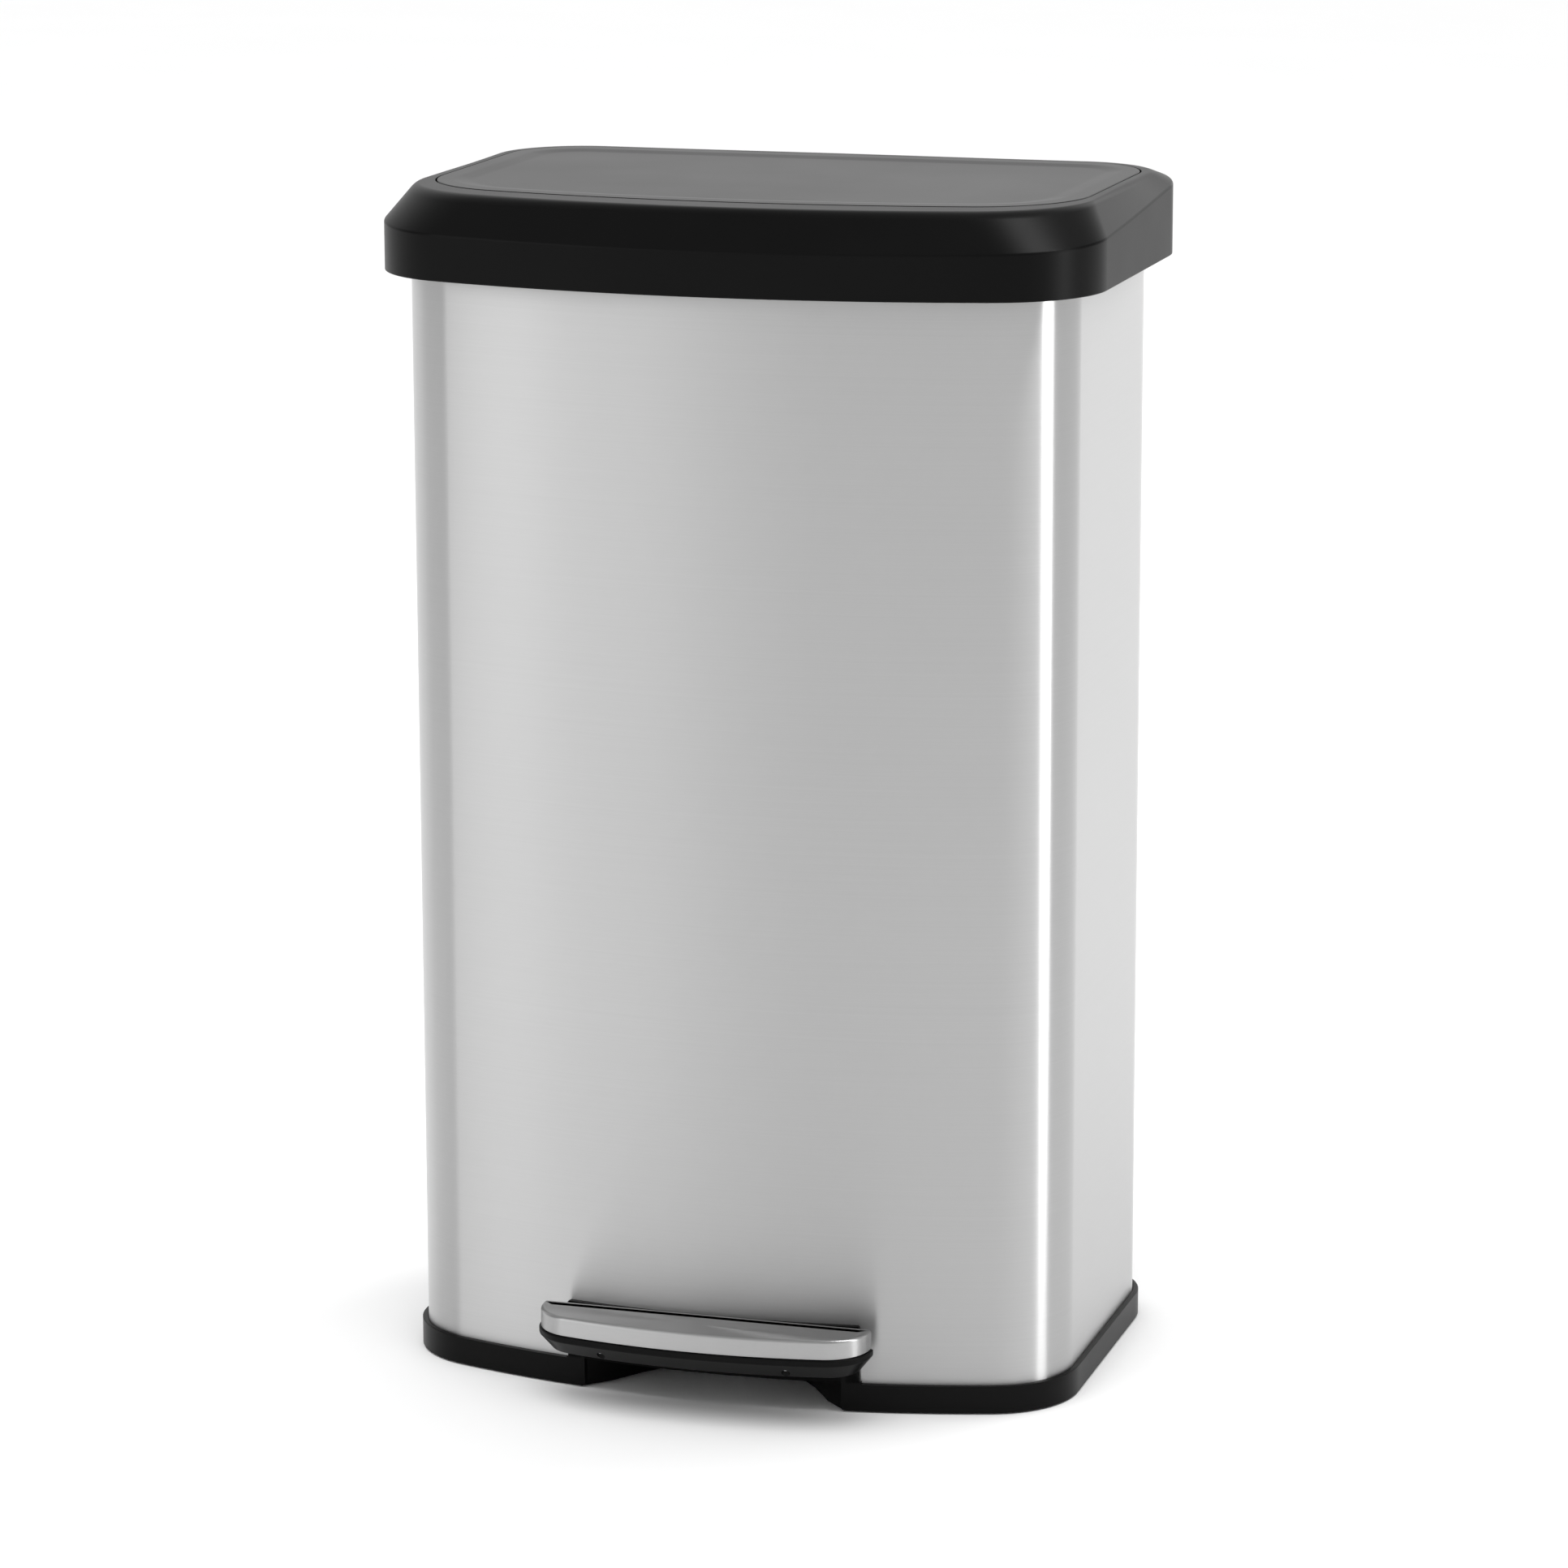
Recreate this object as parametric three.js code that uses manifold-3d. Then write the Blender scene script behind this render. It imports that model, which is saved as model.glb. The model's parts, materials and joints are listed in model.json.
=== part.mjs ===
// Pedal bin of about 45 litres: a stainless shell on a moulded base, an inner bucket, and a
// moulded lid that a foot pedal lifts through a lever, a rod and a slotted crank.
// Millimetres, +Z up, the front faces -Y.
import * as THREE from "three";
import { mergeVertices } from "three/addons/utils/BufferGeometryUtils.js";
import Module from "manifold-3d";

const wasm = await Module();
wasm.setup();

// Driving dimensions.

const gap = 0.35; // between pieces that touch
const weld = 0.4; // how far joined solids run into each other

// Plans are seen from above, about the middle of the shell: a bowed front, two corner radii and
// a straight rear.
const shell = {
  plan: { halfWidth: 185, front: -122.5, rear: 122.5, bow: 507, frontCorner: 48, rearCorner: 41 },
  bottom: 6.4,
  top: 611,
  wall: 0.8,
};
const base = {
  outset: 3.4,
  bottom: 0.8,
  top: 15.8,
  bevel: 1,
  flangeTop: 28,
  flange: 2.8,
  webBottom: 3,
  web: 2.5,
};
const surround = { halfWidth: 83, top: 48.5, thickness: 2.9, doorwayInset: 6, doorwayDrop: 1.5 };
const well = {
  frontHalf: 73,
  front: -117.5,
  rearHalf: 41,
  rear: -78,
  easing: 9,
  wall: 3,
  ceiling: 43,
  roof: 3,
  mouth: -200, // well clear of the front
  slotHalf: 22,
  slotBottom: 7,
  slotTop: 38,
  slotReach: 20,
};
const collar = {
  opening: { halfWidth: 174, front: -110, rear: 88, bow: 507, frontCorner: 42, rearCorner: 32 },
  outset: 2.2,
  lipBottom: 606,
  deckTop: 614.3,
  deck: 2.5,
  skirtBottom: 592,
  skirt: 2.4,
  crankSlot: { left: -8.5, right: 12.5, front: 95, rear: 118.9 },
};
const bucket = {
  rimOutset: 4.6,
  rim: 3.6,
  clearance: 2,
  wall: 2,
  taper: 8,
  bottom: 66,
  footRound: 8,
};
const lid = {
  skirtPlan: { halfWidth: 198.7, front: -137, rear: 139, bow: 570, frontCorner: 63.6, rearCorner: 49 },
  rimPlan: {
    halfWidth: 187.9,
    front: -121.7,
    rear: 137.2,
    bow: 596,
    frontCorner: 71.5,
    rearCorner: 48,
  },
  bottom: 605,
  top: 650,
  creaseFront: 629,
  creaseRear: 647.8,
  creaseStraight: 0.55, // the rest of its climb grows with the square of the distance
  wall: 2.5,
  rimRound: 1.6,
  seat: 646,
  underside: 643.5,
  sealTop: 644,
  sealTopRear: 641, // lower where it passes under the open middle of the frame
  sealBottom: 617,
};
const panel = {
  plan: { halfWidth: 180.5, front: -97, rear: 128.6, bow: 600, frontCorner: 62, rearCorner: 40 },
  seam: 0.9,
  ledge: 5,
  band: 10,
  slope: 9,
  top: 650.2,
  dish: 649.4,
  bottom: 643.9,
};
const liner = { inset: 7.5, rear: 118.6, bottom: 634, plate: 2.5, wall: 2.2, top: 643.1 };
const hinge = {
  y: 133,
  z: 607,
  pin: 2,
  bore: 2.35,
  head: 3.4,
  headLength: 1.2,
  knuckle: 5,
  lugInner: 59,
  lugOuter: 67,
  eyeGap: 1,
  eyeWidth: 8,
  housingHalf: 96,
  housingBottom: 560,
  housingRear: 136,
  housingTop: 598,
  notchTop: 614.6,
  notchMargin: 2,
  lugTop: 640,
};
const travel = { lidAngle: THREE.MathUtils.degToRad(80), rodY: 111, axleY: -14, axleZ: 27 };
const crankArm = hinge.y - travel.rodY;
const rodLift = crankArm * Math.tan(travel.lidAngle / 2); // keeps the crank's slot nearly straight
const crank = {
  inner: 3.8,
  thickness: 2.5,
  front: 104,
  rear: 116.5,
  bottom: 585.5,
  flange: 631,
  slot: 3.05,
  offset: 0.5,
};
const crankFlange = { outer: 34, front: 99, rear: 116.5, screws: [13.5, 27], screwY: 108 };
const rod = { radius: 2.5, bottom: 31.4, top: 602.4 };
const eye = { x: [-4.5, 3.2], half: 5, bottom: 595, top: 612.3 };
const shoe = { half: 7, front: 104.5, rear: 117.5, bottom: 19, top: 36, slot: 2.5, play: 2.4 };
const pivotPin = { radius: 2, bore: 2.35, head: 3.4, headLength: 1.4 };
const pedal = {
  plan: { halfWidth: 92.5, front: -163.2, rear: -128.6, bow: 370, frontCorner: 25, rearCorner: 1.2 },
  top: 51,
  bandBottom: 40.5,
  steel: 1,
  round: 1.6,
  lip: 1.1,
  lipDrop: 3.2,
  bottom: 28,
  undercut: 8,
  endCut: 6,
};
const pedalPocket = { half: 60, front: -157.3, floor: 36, roof: 44 };
const pedalScrew = { x: 52, y: -154.2, recess: 2.4, seat: 34, bore: 1.8, boreTop: 48 };
const lever = {
  half: 18,
  plate: 2,
  top: 35,
  flangeBottom: 21.5,
  crossHalf: 58,
  crossTop: 38.5,
  crossRear: -134,
  stepFront: -127.5,
  stepRear: -125.5,
  front: -156.8,
  rear: 97,
};
const axle = { radius: 3, half: 36, bore: 3.35, bush: 4.6, bushBore: 4.95, bushProud: 3 };
const bearing = { inner: 23, outer: 32, front: -25, rear: -3, top: 34 };
const clip = { inner: 32.6, outer: 34, radius: 6 };
const innerFloor = { bottom: 58, plate: 3, inset: 0.8 };
const rodSlot = { left: -8, right: 40, front: 98, rear: 118 };
const post = { radius: 6, x: 150, front: -66, rear: 88 };
const pad = { radius: 12, height: 2.6, x: 146, front: -78, rear: 98 };
const guide = { half: 12, front: 104, bore: 2.9, levels: { lower: [72, 82], upper: [540, 550] } };
const damper = {
  x: 26,
  y: 109,
  radius: 7,
  bore: 4.6,
  bottom: 134,
  top: 190,
  cap: 4,
  head: 4.2,
  headLength: 6,
  stem: 2,
  linkBottom: 96,
  link: 4,
};
const damperClip = { half: 11, bottom: 152, top: 164 };
const backing = { half: 90, front: 119, rear: 121.3, bottom: 563, top: 587 };
const bumper = { radius: 4, x: 150, y: -91, height: 2.2 };
const smallScrew = { head: 3.6, headHeight: 2, shank: 1.7, bore: 2.05 };
const panScrew = { head: 4.2, headHeight: 2.2, shank: 2, bore: 2.35 };
const thinScrew = { head: 2.1, headHeight: 1.2, shank: 1.5 };
const screwLength = { floor: 12, crank: 7, housing: 20, pedal: 12 };

const steps = { bow: 8, corner: 6, side: 3, rear: 2, rearCorner: 5 };
const roundSteps = { rod: 12, screw: 8, small: 16, bore: 10 };

// The origin is under the middle of the whole bin, between the pedal's front and the lid's rear.
const middleY = (pedal.plan.front - pedal.lip + lid.skirtPlan.rear) / 2;

// Materials.

function finish(color, roughness, metalness) {
  return new THREE.MeshStandardMaterial({ color, roughness, metalness });
}

const brushedSteel = finish(0xb9b9b7, 0.32, 1);
const zincSteel = finish(0xa6a7a6, 0.42, 1);
const blackPlastic = finish(0x1a1a1b, 0.5, 0);
const panelPlastic = finish(0x5c5c5d, 0.45, 0.2);
const greyPlastic = finish(0x3a3b3c, 0.55, 0);
const whiteNylon = finish(0xd9d7cf, 0.5, 0);
const rubber = finish(0x141414, 0.85, 0);

const bin = new THREE.Group();
bin.position.y = -middleY;

function add(name, geometry, material) {
  const mesh = new THREE.Mesh(geometry, material);
  mesh.name = name;
  bin.add(mesh);
  return mesh;
}

// Shape helpers.

const outset = (plan, by) => ({
  halfWidth: plan.halfWidth + by,
  front: plan.front - by,
  rear: plan.rear + by,
  bow: plan.bow + by,
  frontCorner: plan.frontCorner + by,
  rearCorner: Math.max(plan.rearCorner + by, 1),
});

function arc(centreX, centreY, radius, from, to, count) {
  return Array.from({ length: count }, (_, i) => {
    const angle = from + ((to - from) * i) / count;
    return new THREE.Vector2(centreX + radius * Math.cos(angle), centreY + radius * Math.sin(angle));
  });
}

function line(fromX, fromY, toX, toY, count) {
  const from = new THREE.Vector2(fromX, fromY);
  const to = new THREE.Vector2(toX, toY);
  return Array.from({ length: count }, (_, i) => from.clone().lerp(to, i / count));
}

// The points of a plan, anticlockwise from the left end of its bowed front.
function planPoints(plan) {
  const { halfWidth, front, rear, bow, frontCorner, rearCorner } = plan;
  const bowY = front + bow;
  const frontX = halfWidth - frontCorner;
  const frontY = bowY - Math.sqrt((bow - frontCorner) ** 2 - frontX ** 2);
  const meet = Math.atan2(frontY - bowY, frontX);
  const rearX = halfWidth - rearCorner;
  const rearY = rear - rearCorner;
  return [
    ...arc(0, bowY, bow, -Math.PI - meet, meet, steps.bow),
    ...arc(frontX, frontY, frontCorner, meet, 0, steps.corner),
    ...line(halfWidth, frontY, halfWidth, rearY, steps.side),
    ...arc(rearX, rearY, rearCorner, 0, Math.PI / 2, steps.rearCorner),
    ...line(rearX, rear, -rearX, rear, steps.rear),
    ...arc(-rearX, rearY, rearCorner, Math.PI / 2, Math.PI, steps.rearCorner),
    ...line(-halfWidth, rearY, -halfWidth, frontY, steps.side),
    ...arc(-frontX, frontY, frontCorner, Math.PI, Math.PI - meet, steps.corner),
  ];
}

// A plan lifted to a height, or to a height that a function gives for each point.
function level(plan, height) {
  const heightAt = typeof height === "function" ? height : () => height;
  return planPoints(plan).map((p) => new THREE.Vector3(p.x, p.y, heightAt(p)));
}

// A closed skin through loops of equal length, each joined to the next. Its two ends are capped,
// or joined to each other when the section closes on itself.
function loft(loops, closed) {
  const count = loops[0].length;
  const index = [];
  const rows = closed ? loops.length : loops.length - 1;
  for (let row = 0; row < rows; row++) {
    const here = row * count;
    const next = ((row + 1) % loops.length) * count;
    for (let i = 0; i < count; i++) {
      const j = (i + 1) % count;
      index.push(here + i, here + j, next + j, here + i, next + j, next + i);
    }
  }
  if (!closed) {
    const last = (loops.length - 1) * count;
    capTriangles(loops[0]).forEach(([a, b, c]) => index.push(a, c, b));
    capTriangles(loops.at(-1)).forEach(([a, b, c]) => index.push(last + a, last + b, last + c));
  }
  return new THREE.BufferGeometry().setFromPoints(loops.flat()).setIndex(index);
}

function capTriangles(loop) {
  const flat = loop.map((p) => new THREE.Vector2(p.x, p.y));
  return THREE.ShapeUtils.triangulateShape(flat, []);
}

const stack = (...loops) => loft(loops, false);
const ring = (...loops) => loft(loops, true);

function block(x, y, z) {
  const size = [x, y, z].map(([low, high]) => high - low);
  const middle = [x, y, z].map(([low, high]) => (low + high) / 2);
  return new THREE.BoxGeometry(...size).translate(...middle);
}

function rodAlongZ(radius, x, y, bottom, top, segments = roundSteps.rod) {
  return new THREE.CylinderGeometry(radius, radius, top - bottom, segments)
    .rotateX(Math.PI / 2)
    .translate(x, y, (bottom + top) / 2);
}

function rodAlongX(radius, from, to, y, z, segments = roundSteps.rod) {
  return new THREE.CylinderGeometry(radius, radius, to - from, segments)
    .rotateZ(Math.PI / 2)
    .translate((from + to) / 2, y, z);
}

// A shape drawn in Y and Z, run along X.
function extrudeX(shape, from, to, curveSegments = 8) {
  const options = { depth: to - from, bevelEnabled: false, curveSegments };
  const axes = new THREE.Matrix4().makeBasis(
    new THREE.Vector3(0, 1, 0),
    new THREE.Vector3(0, 0, 1),
    new THREE.Vector3(1, 0, 0),
  );
  return new THREE.ExtrudeGeometry(shape, options).applyMatrix4(axes).translate(from, 0, 0);
}

function extrudeZ(points, bottom, top) {
  const options = { depth: top - bottom, bevelEnabled: false };
  return new THREE.ExtrudeGeometry(new THREE.Shape(points), options).translate(0, 0, bottom);
}

// A turned piece on the Z axis, from the radius and height of each corner of its section.
function turned(corners, segments = roundSteps.small) {
  const points = corners.map(([radius, height]) => new THREE.Vector2(radius, height));
  return new THREE.LatheGeometry(points, segments).rotateX(Math.PI / 2);
}

function tube(inner, outer, bottom, top, segments) {
  const section = [[inner, bottom], [outer, bottom], [outer, top], [inner, top], [inner, bottom]];
  return turned(section, segments);
}

// A slot with round ends, drawn in Y and Z between two centres.
function slotShape(fromY, fromZ, toY, toZ, radius) {
  const along = Math.atan2(toZ - fromZ, toY - fromY);
  const shape = new THREE.Shape();
  shape.absarc(fromY, fromZ, radius, along + Math.PI / 2, along + (Math.PI * 3) / 2, false);
  shape.absarc(toY, toZ, radius, along - Math.PI / 2, along + Math.PI / 2, false);
  return shape;
}

function toSolid(geometry) {
  const plain = new THREE.BufferGeometry().setAttribute("position", geometry.getAttribute("position"));
  if (geometry.index) plain.setIndex(geometry.index);
  const merged = mergeVertices(plain, 1e-3);
  return new wasm.Manifold(
    new wasm.Mesh({
      numProp: 3,
      vertProperties: merged.getAttribute("position").array,
      triVerts: new Uint32Array(merged.index.array),
    }),
  );
}

function fromSolid(solid) {
  const mesh = solid.getMesh();
  return new THREE.BufferGeometry()
    .setAttribute("position", new THREE.BufferAttribute(mesh.vertProperties, 3))
    .setIndex(new THREE.BufferAttribute(mesh.triVerts, 1));
}

// The first shape with the others joined to it, less the shapes that cut it.
function build(parts, cuts = []) {
  let made = toSolid(parts[0]);
  for (const part of parts.slice(1)) made = made.add(toSolid(part));
  for (const tool of cuts) made = made.subtract(toSolid(tool));
  return fromSolid(made);
}

// Where two shapes run through each other.
function common(first, second) {
  return fromSolid(toSolid(first).intersect(toSolid(second)));
}

// A screw whose head sits on z = 0 and whose shank points down.
function screwShape({ head, headHeight, shank }, length) {
  const crown = headHeight * 0.6;
  const corners = [
    [0, -length],
    [shank, -length + shank],
    [shank, 0],
    [head, 0],
    [head, crown],
    [head * 0.6, headHeight],
    [0, headHeight],
  ];
  return turned(corners, roundSteps.screw);
}

const sides = [["left", -1], ["right", 1]];

// Two distances from the middle plane as a span from low to high, on the side of the sign.
function span(sign, near, far) {
  return [sign * near, sign * far].sort((a, b) => a - b);
}

// Base.

// The open recess under the pedal, as seen from above, widened all round by the given amount.
function wellPoints(grow) {
  const right = [
    [well.frontHalf + grow, well.mouth],
    [well.frontHalf + grow, well.front],
    [well.frontHalf - well.easing * 1.2 + grow, well.front + well.easing],
    [well.rearHalf + well.easing * 0.8 + grow, well.rear - well.easing],
    [well.rearHalf + grow * 0.6, well.rear + grow],
  ];
  const left = right.map(([x, y]) => [-x, y]).reverse();
  return [...right, ...left].map(([x, y]) => new THREE.Vector2(x, y));
}

function baseRing() {
  const outer = outset(shell.plan, base.outset);
  const grooveOuter = outset(shell.plan, gap);
  const grooveInner = outset(shell.plan, -shell.wall - gap);
  const flangeInner = outset(shell.plan, -shell.wall - gap - base.flange);
  const wall = ring(
    level(outer, base.bottom),
    level(outer, base.top - base.bevel),
    level(outset(outer, -base.bevel), base.top),
    level(grooveOuter, base.top),
    level(grooveOuter, shell.bottom - gap),
    level(grooveInner, shell.bottom - gap),
    level(grooveInner, base.flangeTop),
    level(flangeInner, base.flangeTop),
    level(flangeInner, base.bottom),
  );
  const webPlan = outset(flangeInner, weld);
  const web = stack(level(webPlan, base.webBottom), level(webPlan, base.webBottom + base.web));
  const bandInner = outset(outer, -surround.thickness);
  const band = ring(
    level(outer, base.bottom + weld),
    level(outer, surround.top),
    level(bandInner, surround.top),
    level(bandInner, base.bottom + weld),
  );
  const bandZone = block([-surround.halfWidth, surround.halfWidth], [well.mouth, -100], [0, 100]);
  const wellTop = well.ceiling + well.roof;
  const wellBody = extrudeZ(wellPoints(well.wall), base.bottom + weld, wellTop);
  const wellLimit = outset(outer, -0.2);
  const wellZone = stack(level(wellLimit, 0), level(wellLimit, wellTop + 1));
  const postBottom = base.webBottom + weld;
  const postTop = innerFloor.bottom - gap;
  const posts = postPlaces().map(([x, y]) => rodAlongZ(post.radius, x, y, postBottom, postTop));
  const pilotBottom = postTop - screwLength.floor - 1;
  const pilots = postPlaces().map(([x, y]) => {
    return rodAlongZ(smallScrew.bore, x, y, pilotBottom, postTop + 1, roundSteps.bore);
  });
  const leverSlot = block(
    [-well.slotHalf, well.slotHalf],
    [well.rear - well.slotReach, well.rear + well.slotReach],
    [well.slotBottom, well.slotTop],
  );
  return build(
    [wall, web, common(band, bandZone), common(wellBody, wellZone), ...posts],
    [extrudeZ(wellPoints(0), -1, well.ceiling), leverSlot, ...pilots],
  );
}

function postPlaces() {
  return [post.front, post.rear].flatMap((y) => [[-post.x, y], [post.x, y]]);
}

function footPads() {
  for (const [end, y] of [["front", pad.front], ["rear", pad.rear]])
    for (const [side, sign] of sides) {
      const disc = rodAlongZ(pad.radius, sign * pad.x, y, 0, pad.height, roundSteps.small);
      add("foot_pad_" + end + "_" + side, disc, rubber);
    }
}

function bearings() {
  for (const [side, sign] of sides) {
    const [from, to] = span(sign, bearing.inner, bearing.outer);
    const bottom = base.webBottom + base.web + gap;
    const body = block([from, to], [bearing.front, bearing.rear], [bottom, bearing.top]);
    const bore = rodAlongX(axle.bore, from - 1, to + 1, travel.axleY, travel.axleZ);
    add("axle_bearing_" + side, build([body], [bore]), greyPlastic);
    const ends = span(sign, clip.inner, clip.outer);
    const hoop = rodAlongX(clip.radius, ends[0], ends[1], travel.axleY, travel.axleZ);
    const hole = rodAlongX(axle.bore, ends[0] - 1, ends[1] + 1, travel.axleY, travel.axleZ);
    add("axle_clip_" + side, build([hoop], [hole]), zincSteel);
  }
  const { radius, half } = axle;
  add("pedal_axle", rodAlongX(radius, -half, half, travel.axleY, travel.axleZ), zincSteel);
}

// Shell, collar and inner floor.

function bodyShell() {
  const inner = outset(shell.plan, -shell.wall);
  const wall = ring(
    level(shell.plan, shell.bottom),
    level(shell.plan, shell.top),
    level(inner, shell.top),
    level(inner, shell.bottom),
  );
  const cutHalf = surround.halfWidth - surround.doorwayInset;
  const cutTop = surround.top - surround.doorwayDrop;
  const doorway = block([-cutHalf, cutHalf], [well.mouth, -90], [0, cutTop]);
  return build([wall], [doorway, ...housingHoles(shell.plan.rear - 5, shell.plan.rear + 5)]);
}

function topCollar() {
  const outer = outset(shell.plan, collar.outset);
  const groove = outset(shell.plan, gap);
  const skirtOuter = outset(shell.plan, -shell.wall - gap);
  const skirtInner = outset(skirtOuter, -collar.skirt);
  const grooveTop = shell.top + gap;
  const deckBottom = collar.deckTop - collar.deck;
  const body = ring(
    level(outer, collar.lipBottom),
    level(outer, collar.deckTop - 1),
    level(outset(outer, -1), collar.deckTop),
    level(collar.opening, collar.deckTop),
    level(collar.opening, deckBottom),
    level(skirtInner, deckBottom),
    level(skirtInner, collar.skirtBottom),
    level(skirtOuter, collar.skirtBottom),
    level(skirtOuter, grooveTop),
    level(groove, grooveTop),
    level(groove, collar.lipBottom),
  );
  const { left, right, front, rear } = collar.crankSlot;
  const slot = block([left, right], [front, rear], [deckBottom - 1, collar.deckTop + 1]);
  return build([body], [slot]);
}

function mechanismCover() {
  const outline = outset(shell.plan, -shell.wall - innerFloor.inset);
  const top = innerFloor.bottom + innerFloor.plate;
  const plate = stack(level(outline, innerFloor.bottom), level(outline, top));
  const slot = block([rodSlot.left, rodSlot.right], [rodSlot.front, rodSlot.rear], [0, 100]);
  const holes = postPlaces().map(([x, y]) => {
    return rodAlongZ(smallScrew.bore, x, y, 0, 100, roundSteps.bore);
  });
  return build([plate], [slot, ...holes]);
}

function floorScrews() {
  postPlaces().forEach(([x, y], i) => {
    const shape = screwShape(smallScrew, screwLength.floor);
    shape.translate(x, y, innerFloor.bottom + innerFloor.plate + gap);
    add("floor_screw_" + (i + 1), shape, zincSteel);
  });
}

// Inner bucket.

function innerBucket() {
  const outer = outset(collar.opening, -bucket.clearance);
  const narrow = outset(outer, -bucket.taper);
  const rimBottom = collar.deckTop + gap;
  const rimTop = rimBottom + bucket.rim;
  const rimPlan = outset(collar.opening, bucket.rimOutset);
  const { footRound } = bucket;
  return stack(
    level(outset(narrow, -footRound), bucket.bottom),
    level(narrow, bucket.bottom + footRound),
    level(outer, rimBottom),
    level(rimPlan, rimBottom),
    level(rimPlan, rimTop - 1),
    level(outset(rimPlan, -1), rimTop),
    level(outset(outer, -bucket.wall), rimTop),
    level(outset(narrow, -bucket.wall), bucket.bottom + footRound),
    level(outset(narrow, -footRound - bucket.wall), bucket.bottom + bucket.wall + 1),
  );
}

// Lid.

// The fold between the upright skirt and the chamfer above it climbs from front to rear.
function creaseHeight(point) {
  const { front, rear } = lid.skirtPlan;
  const along = THREE.MathUtils.clamp((point.y - front) / (rear - front), 0, 1);
  const share = lid.creaseStraight * along + (1 - lid.creaseStraight) * along ** 2;
  return THREE.MathUtils.lerp(lid.creaseFront, lid.creaseRear, share);
}

function lidFrame() {
  const skirtInner = outset(lid.skirtPlan, -lid.wall);
  const panelHole = outset(panel.plan, panel.seam);
  const ledgeInner = outset(panel.plan, -panel.ledge);
  const chamferHeight = lid.top - lid.rimRound;
  const body = ring(
    level(lid.skirtPlan, lid.bottom),
    level(lid.skirtPlan, creaseHeight),
    level(lid.rimPlan, chamferHeight),
    level(outset(lid.rimPlan, -lid.rimRound), lid.top),
    level(panelHole, lid.top),
    level(panelHole, lid.seat),
    level(ledgeInner, lid.seat),
    level(ledgeInner, lid.underside),
    level(outset(lid.rimPlan, -lid.wall - 1.5), lid.underside),
    level(skirtInner, (p) => creaseHeight(p) - 3),
    level(skirtInner, lid.bottom),
  );
  const sealOuter = outset(shell.plan, -0.8);
  const sealInner = outset(sealOuter, -2.2);
  const sealTop = (p) => (p.y > liner.rear - 30 ? lid.sealTopRear : lid.sealTop);
  const seal = ring(
    level(sealOuter, lid.sealBottom),
    level(sealOuter, sealTop),
    level(sealInner, sealTop),
    level(sealInner, lid.sealBottom),
  );
  const reach = hinge.eyeGap + hinge.eyeWidth + hinge.notchMargin;
  const notchY = [hinge.y - hinge.knuckle - 3, lid.skirtPlan.rear + 20];
  const notches = sides.map(([, sign]) => {
    const ends = span(sign, hinge.lugInner - reach, hinge.lugOuter + reach);
    return block(ends, notchY, [lid.bottom - 1, hinge.notchTop]);
  });
  const shaped = build([body, seal], notches);
  const lugs = sides.map(([, sign]) => {
    return extrudeX(lugShape(), ...span(sign, hinge.lugInner, hinge.lugOuter));
  });
  const bore = rodAlongX(hinge.bore, -80, 80, hinge.y, hinge.z);
  return build([shaped, ...lugs], [bore]);
}

// A knuckle about the hinge pin with a web that runs up into the lid's rear wall.
function lugShape() {
  const shape = new THREE.Shape();
  shape.moveTo(hinge.y + hinge.knuckle, hinge.z);
  shape.lineTo(hinge.y + hinge.knuckle, hinge.lugTop);
  shape.lineTo(hinge.y - hinge.knuckle, hinge.lugTop);
  shape.lineTo(hinge.y - hinge.knuckle, hinge.z);
  shape.absarc(hinge.y, hinge.z, hinge.knuckle, Math.PI, Math.PI * 2, false);
  return shape;
}

function lidPanel() {
  const under = outset(panel.plan, -panel.ledge - 0.8);
  const bandInner = outset(panel.plan, -panel.band);
  const dishEdge = outset(panel.plan, -panel.band - panel.slope);
  const seat = lid.seat + gap;
  return stack(
    level(under, panel.bottom),
    level(under, seat),
    level(panel.plan, seat),
    level(panel.plan, panel.top - 0.7),
    level(outset(panel.plan, -0.7), panel.top),
    level(bandInner, panel.top),
    level(dishEdge, panel.dish),
  );
}

function lidLiner() {
  const outer = { ...outset(panel.plan, -liner.inset), rear: liner.rear };
  const inner = outset(outer, -liner.wall);
  const dish = stack(
    level(outset(outer, -3), liner.bottom),
    level(outer, liner.bottom + 3),
    level(outer, liner.top),
    level(inner, liner.top),
    level(inner, liner.bottom + liner.plate),
  );
  return build([dish], crankHoles());
}

function crankHoles() {
  return crankFlange.screws.map((x) => {
    return rodAlongZ(smallScrew.bore, x, crankFlange.screwY, 600, 640, roundSteps.bore);
  });
}

// The steel bracket that the rod's pin pushes: an upright cheek with the slot, and a flange
// under the liner.
function lidCrank() {
  const right = crank.inner + crank.thickness;
  const top = crank.flange + crank.thickness;
  const cheek = block([crank.inner, right], [crank.front, crank.rear], [crank.bottom, top]);
  const plateY = [crankFlange.front, crankFlange.rear];
  const flange = block([crank.inner, crankFlange.outer], plateY, [crank.flange, top]);
  const slotY = travel.rodY - crank.offset;
  const pinDrop = crankArm * Math.sin(travel.lidAngle) - rodLift * Math.cos(travel.lidAngle);
  const outline = slotShape(slotY, hinge.z, slotY, hinge.z - pinDrop, crank.slot);
  const slot = extrudeX(outline, crank.inner - 1, right + 1);
  return build([cheek, flange], [slot, ...crankHoles()]);
}

function crankScrews() {
  crankFlange.screws.forEach((x, i) => {
    const shape = screwShape(smallScrew, screwLength.crank).rotateX(Math.PI);
    shape.translate(x, crankFlange.screwY, crank.flange - gap);
    add("crank_screw_" + (i + 1), shape, zincSteel);
  });
}

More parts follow.
